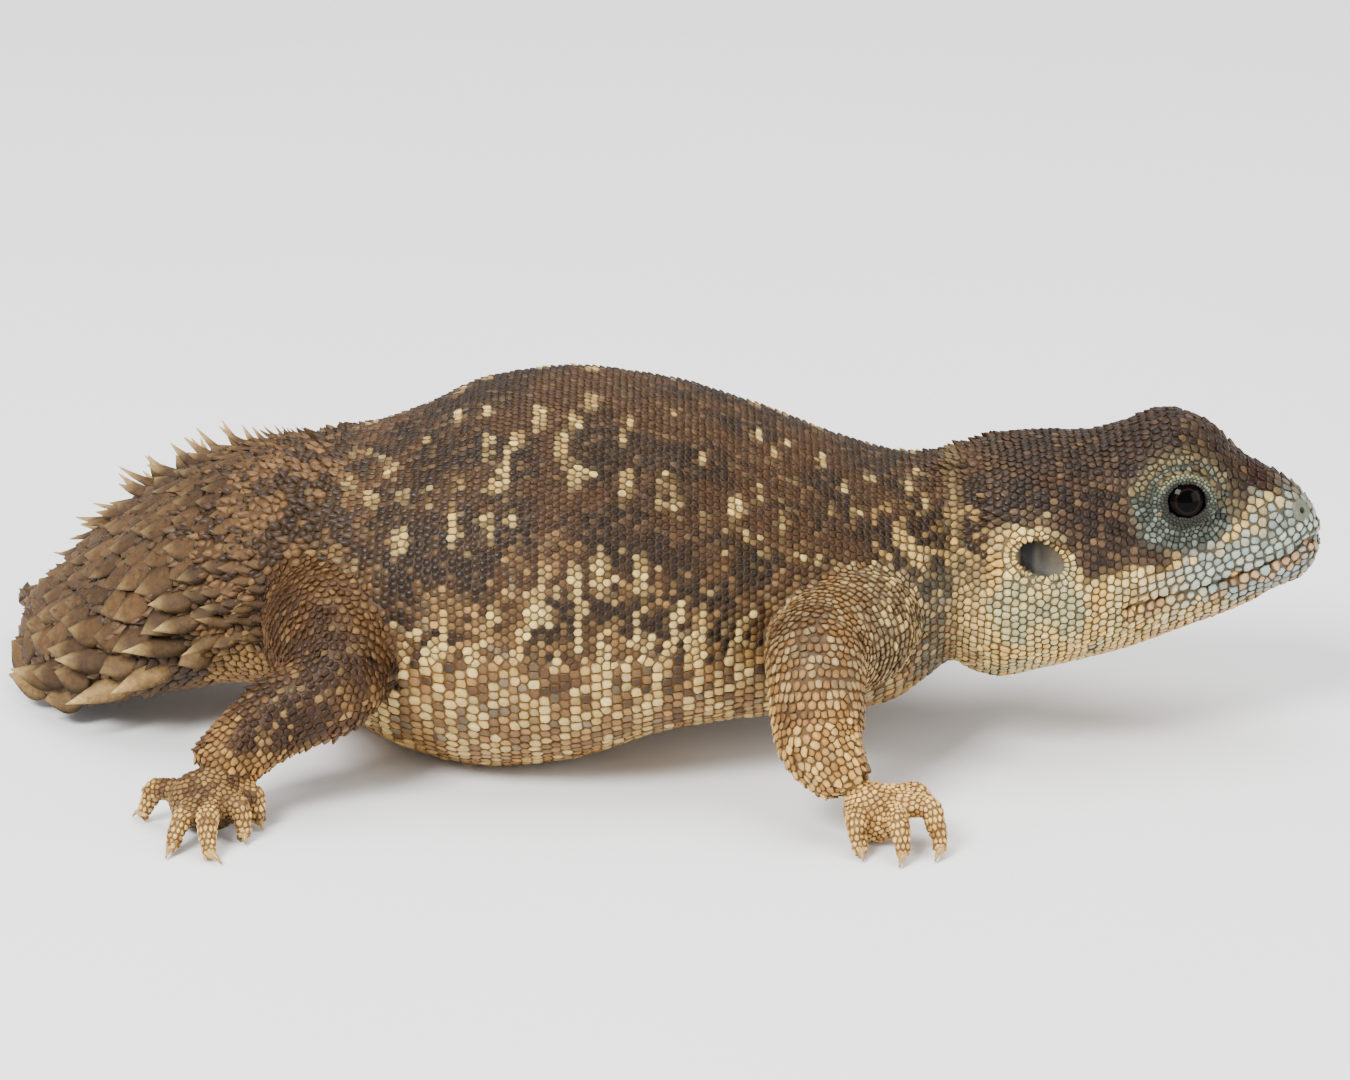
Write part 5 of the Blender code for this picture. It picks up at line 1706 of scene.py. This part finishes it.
class TailPlates:
    """Rings of keeled plates over the rump and the tail's shield, each with a free, pale point."""

    STEP, WIDTH = 2.15 * MM, 2.9 * MM
    LENGTHS, LIFTS = (2.3, 3.8), (0.28, 2.3)
    SPAN, RAISE, SPLAY = math.radians(94), 0.7, 0.45
    RUMP_X = -17.0  # where small plates begin

    def __init__(self, body: BodyForm, marks: Markings) -> None:
        self.body, self.marks = body, marks

    def places(self, chance: np.random.Generator) -> tuple[Array, Array, Array]:
        """Place, angle and size of every plate."""
        start = float(self.body.place_of(self.RUMP_X * MM))
        shield = float(self.body.place_of(SHIELD_X * MM)) + 0.9 * MM
        end = float(self.body.place_of(TIP_X * MM))
        place, angle, rank, at, k = [], [], [], start, 0
        while at < end - 0.8 * MM:
            grow = 0.4 + 0.6 * float(ease(start, shield + 1.5 * MM, at))
            size = grow * min(1.0, 0.6 + (end - at) / (9 * MM))
            angles = np.linspace(-self.SPAN, self.SPAN, 160)
            run = run_along(self.body.points(np.full(len(angles), at), angles))
            count = max(3, round(run[-1] / (self.WIDTH * size * 0.92)))
            share = (np.arange(count + k % 2) + (0.0 if k % 2 else 0.5)) / count
            share = np.clip(share + chance.normal(0, 0.12, len(share)) / count, 0, 1)
            angle.append(np.interp(share * run[-1], run, angles))
            place.append(at + chance.normal(0, 0.12, len(share)) * self.STEP * size)
            rank.append(np.full(len(share), size))
            at += self.STEP * size * 0.94
            k += 1
        return np.concatenate(place), np.concatenate(angle), np.concatenate(rank)

    def build(self) -> list[bpy.types.Object]:
        """Makes the plates as one joined piece."""
        chance = np.random.default_rng(7)
        place, angle, rank = self.places(chance)
        n = len(place)
        base, out = self.body.points(place, angle), self.body.normal(place, angle)
        rear = unit(self.body.points(place + 0.1 * MM, angle) - base)
        base = base - out * (SKIN_DEPTH * 0.8)
        degrees = np.degrees(angle)
        edge = np.clip(np.maximum((-degrees - 14) / 34, (degrees - 50) / 32), 0, 1)
        rear = unit(rear + out * (self.SPLAY * edge)[:, None])
        out = unit(out + np.array((0, 0, 1.0)) * (self.RAISE * edge)[:, None])
        side = unit(np.cross(out, rear))
        out = np.cross(rear, side)
        yaw = chance.normal(0, 0.2, n)
        rear, side = (
            rear * np.cos(yaw)[:, None] + side * np.sin(yaw)[:, None],
            side * np.cos(yaw)[:, None] - rear * np.sin(yaw)[:, None],
        )
        is_spine = chance.random(n) < 0.5 + 0.15 * (degrees < 0)
        tall = np.where(is_spine, chance.uniform(0.8, 1.05, n), chance.uniform(0.05, 0.4, n))
        stand = tall * (0.2 + 0.8 * edge)
        length, lift = (
            (least + (most - least) * stand) * rank * MM for least, most in (self.LENGTHS, self.LIFTS)
        )
        wide = self.WIDTH * 0.5 * rank * (1.15 - 0.42 * stand)
        thick = rank * (0.42 + 0.5 * stand)
        verts, faces, light, tip = self.template()
        u, v, h, rise = verts.T
        broad = 1 + 0.3 * np.clip(u, 0, 0.8)[None] * (1 - stand[:, None])
        co = (
            base[:, None]
            + rear[:, None] * (u * length[:, None])[..., None]
            + side[:, None] * (v * broad * wide[:, None])[..., None]
            + out[:, None] * (h * MM * thick[:, None] + rise * lift[:, None])[..., None]
        )
        co[..., 2] = np.maximum(co[..., 2], 0)
        tint = self.marks.shield_tint(base, 210)
        low = ease(70, 95, abs(degrees))
        pale = low * chance.uniform(0.2, 1.0, n) * ease(0.5, 0.9, rank)
        tint = self.marks.painted(tint, ("plate_pale", pale))
        share = np.clip(tip[None] * (0.05 + 0.85 * stand[:, None]) * ease(0.3, 0.9, rank)[:, None], 0, 1)
        # The plates' colours are multiplied by the template's painted shade and highlight, then their points
        # are painted pale.
        full = self.marks.painted(tint[:, None] * light[None, :, None], ("plate_tip", share))
        mesh = copied_mesh("shield_plates", co.reshape(-1, 3), faces, n, len(verts), flat=0)
        set_tint(mesh, full.reshape(-1, 3))
        spread = np.stack([u, v], -1)[None] * PATCH
        add_wrap(mesh, self.body.unwrapped(base)[:, None] + spread, faces)
        # Thick keratin plates, scuffed and dusty: rough and uneven, with almost no sheen.
        horn = Finish(rough=0.6, mottle=0.35, mottle_mm=0.5, bump=0.1, gloss=0.18)
        mesh.materials.append(scaly_material("plate_horn", horn))
        made = linked("shield_plates", mesh)
        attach(made, "root")
        log.info("shield_plates: %d", n)
        return [made]

    @staticmethod
    def template() -> tuple[Array, list, Array, Array]:
        """One plate over t along it and a turn round it, drawn to a point that rises as t^1.8, with painted
        shade beneath and at its root.
        """
        t = np.linspace(0, 1, 10)
        u = -0.42 + 1.27 * t
        half = np.sin(np.pi * np.clip(0.16 + 0.84 * t, 0, 1)) ** 0.75 * (1 - t) ** 0.35
        half = np.maximum(half, 0.03) * 1.1
        c, s = np.cos(even_turns(8)), np.sin(even_turns(8))
        thick = 0.62 * (1 - t) ** 0.7 + 0.05
        v = half[:, None] * c[None] * (1 - 0.25 * np.maximum(s, 0)[None])
        above, below = np.maximum(s, 0)[None], np.minimum(s, 0)[None]
        keel = above ** 2 * thick[:, None] * 1.15 + below * thick[:, None] * 0.8
        rise = np.repeat((t ** 1.8)[:, None], 8, 1)
        grid = np.stack([np.repeat(u[:, None], 8, 1), v, keel, rise], -1)
        index = np.arange(80).reshape(10, 8)
        a, b = index[:-1], index[1:]
        faces = np.stack([a, np.roll(a, -1, 1), np.roll(b, -1, 1), b], -1).reshape(-1, 4).tolist()
        faces += [index[0][::-1].tolist(), index[-1].tolist()]
        # Painted shade and highlight: each plate's underside and root are darker and its upper side lighter,
        # as light from above falls on it.
        light = (0.62 + 0.4 * np.maximum(s, 0)[None]) * (0.8 + 0.2 * ease(0, 0.3, t))[:, None]
        tip = np.repeat(ease(0.55, 1.0, t)[:, None], 8, 1)
        return grid.reshape(-1, 4), faces, light.ravel(), tip.ravel()


@dataclass(frozen=True)
class Studio:
    """The photograph's camera, a pale floor and soft lights.

    Attributes:
        target: the point in the middle of the picture, in millimetres.
        elevation: degrees the camera looks down.
        distance: millimetres from the target.
        lens: focal length on a sensor 36 mm wide.
    """

    target: tuple = (11.9, 0.0, 15.1)
    elevation: float = 18.0
    distance: float = 420.0
    lens: float = 145.6
    LIGHTS: ClassVar[tuple] = (
        ("key", (-0.28, -0.42, 0.5), 0.26, 9.0),
        ("fill", (0.5, -0.35, 0.22), 0.4, 2.6),
        ("top", (0.05, 0.1, 0.6), 0.5, 4.0),
    )

    def build(self) -> None:
        """Makes the camera, floor, world and lights."""
        scene = bpy.context.scene
        tilt = math.radians(self.elevation)
        back = Vector((0, -math.cos(tilt), math.sin(tilt)))
        target = Vector(self.target) * MM
        data = bpy.data.cameras.new("camera")
        data.sensor_width, data.lens, data.clip_start = 36.0, self.lens, 0.01
        camera = bpy.data.objects.new("camera", data)
        camera.location = target + back * self.distance * MM
        camera.rotation_euler = (-back).to_track_quat("-Z", "Y").to_euler()
        scene.collection.objects.link(camera)
        scene.camera = camera
        self.floor()
        for name, place, size, power in self.LIGHTS:
            self.light(name, place, size, power, target)
        world = bpy.data.worlds.new("soft_white")
        world.use_nodes = True
        world.node_tree.nodes["Background"].inputs["Color"].default_value = (1, 1, 1, 1)
        world.node_tree.nodes["Background"].inputs["Strength"].default_value = 0.75
        scene.world = world

    def floor(self) -> None:
        """A wide pale floor with a faint unevenness."""
        size = 3.0
        corners = np.array(((-1, -1, 0), (1, -1, 0), (1, 1, 0), (-1, 1, 0)), float) * size
        floor = linked("floor", mesh_flat("floor", corners))
        made = bpy.data.materials.new("pale_floor")
        made.use_nodes = True
        tree = made.node_tree
        shader = tree.nodes["Principled BSDF"]
        place = add_node(tree, "ShaderNodeTexCoord").outputs["Object"]
        noise = add_node(tree, "ShaderNodeTexNoise", {"Vector": place, "Scale": 30.0}).outputs["Fac"]
        grey = add_node(tree, "ShaderNodeMapRange", {"Value": noise, "To Min": 0.86, "To Max": 0.9})
        tree.links.new(grey.outputs["Result"], shader.inputs["Base Color"])
        shader.inputs["Roughness"].default_value = 0.9
        floor.data.materials.append(made)

    @staticmethod
    def light(name: str, place: tuple, size: float, power: float, target: Vector) -> None:
        """One soft square light aimed at the animal."""
        data = bpy.data.lights.new(name, "AREA")
        data.size, data.energy = size, power
        lamp = bpy.data.objects.new(name, data)
        lamp.location = place
        lamp.rotation_euler = (target - Vector(place)).to_track_quat("-Z", "Y").to_euler()
        bpy.context.scene.collection.objects.link(lamp)


def mesh_flat(name: str, corners: Array) -> bpy.types.Mesh:
    """A single flat face."""
    mesh = bpy.data.meshes.new(name)
    mesh.from_pydata(corners.tolist(), [], [tuple(range(len(corners)))])
    return mesh


def main() -> None:
    """Loads the frame, and builds the animal and the studio."""
    logging.basicConfig(level=logging.INFO, format="%(message)s")
    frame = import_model()
    agama = Agama(flesh=[n for n in frame["nodes"] if not n.startswith("eye_")])
    agama.build()
    Studio().build()


if __name__ == "__main__":
    main()
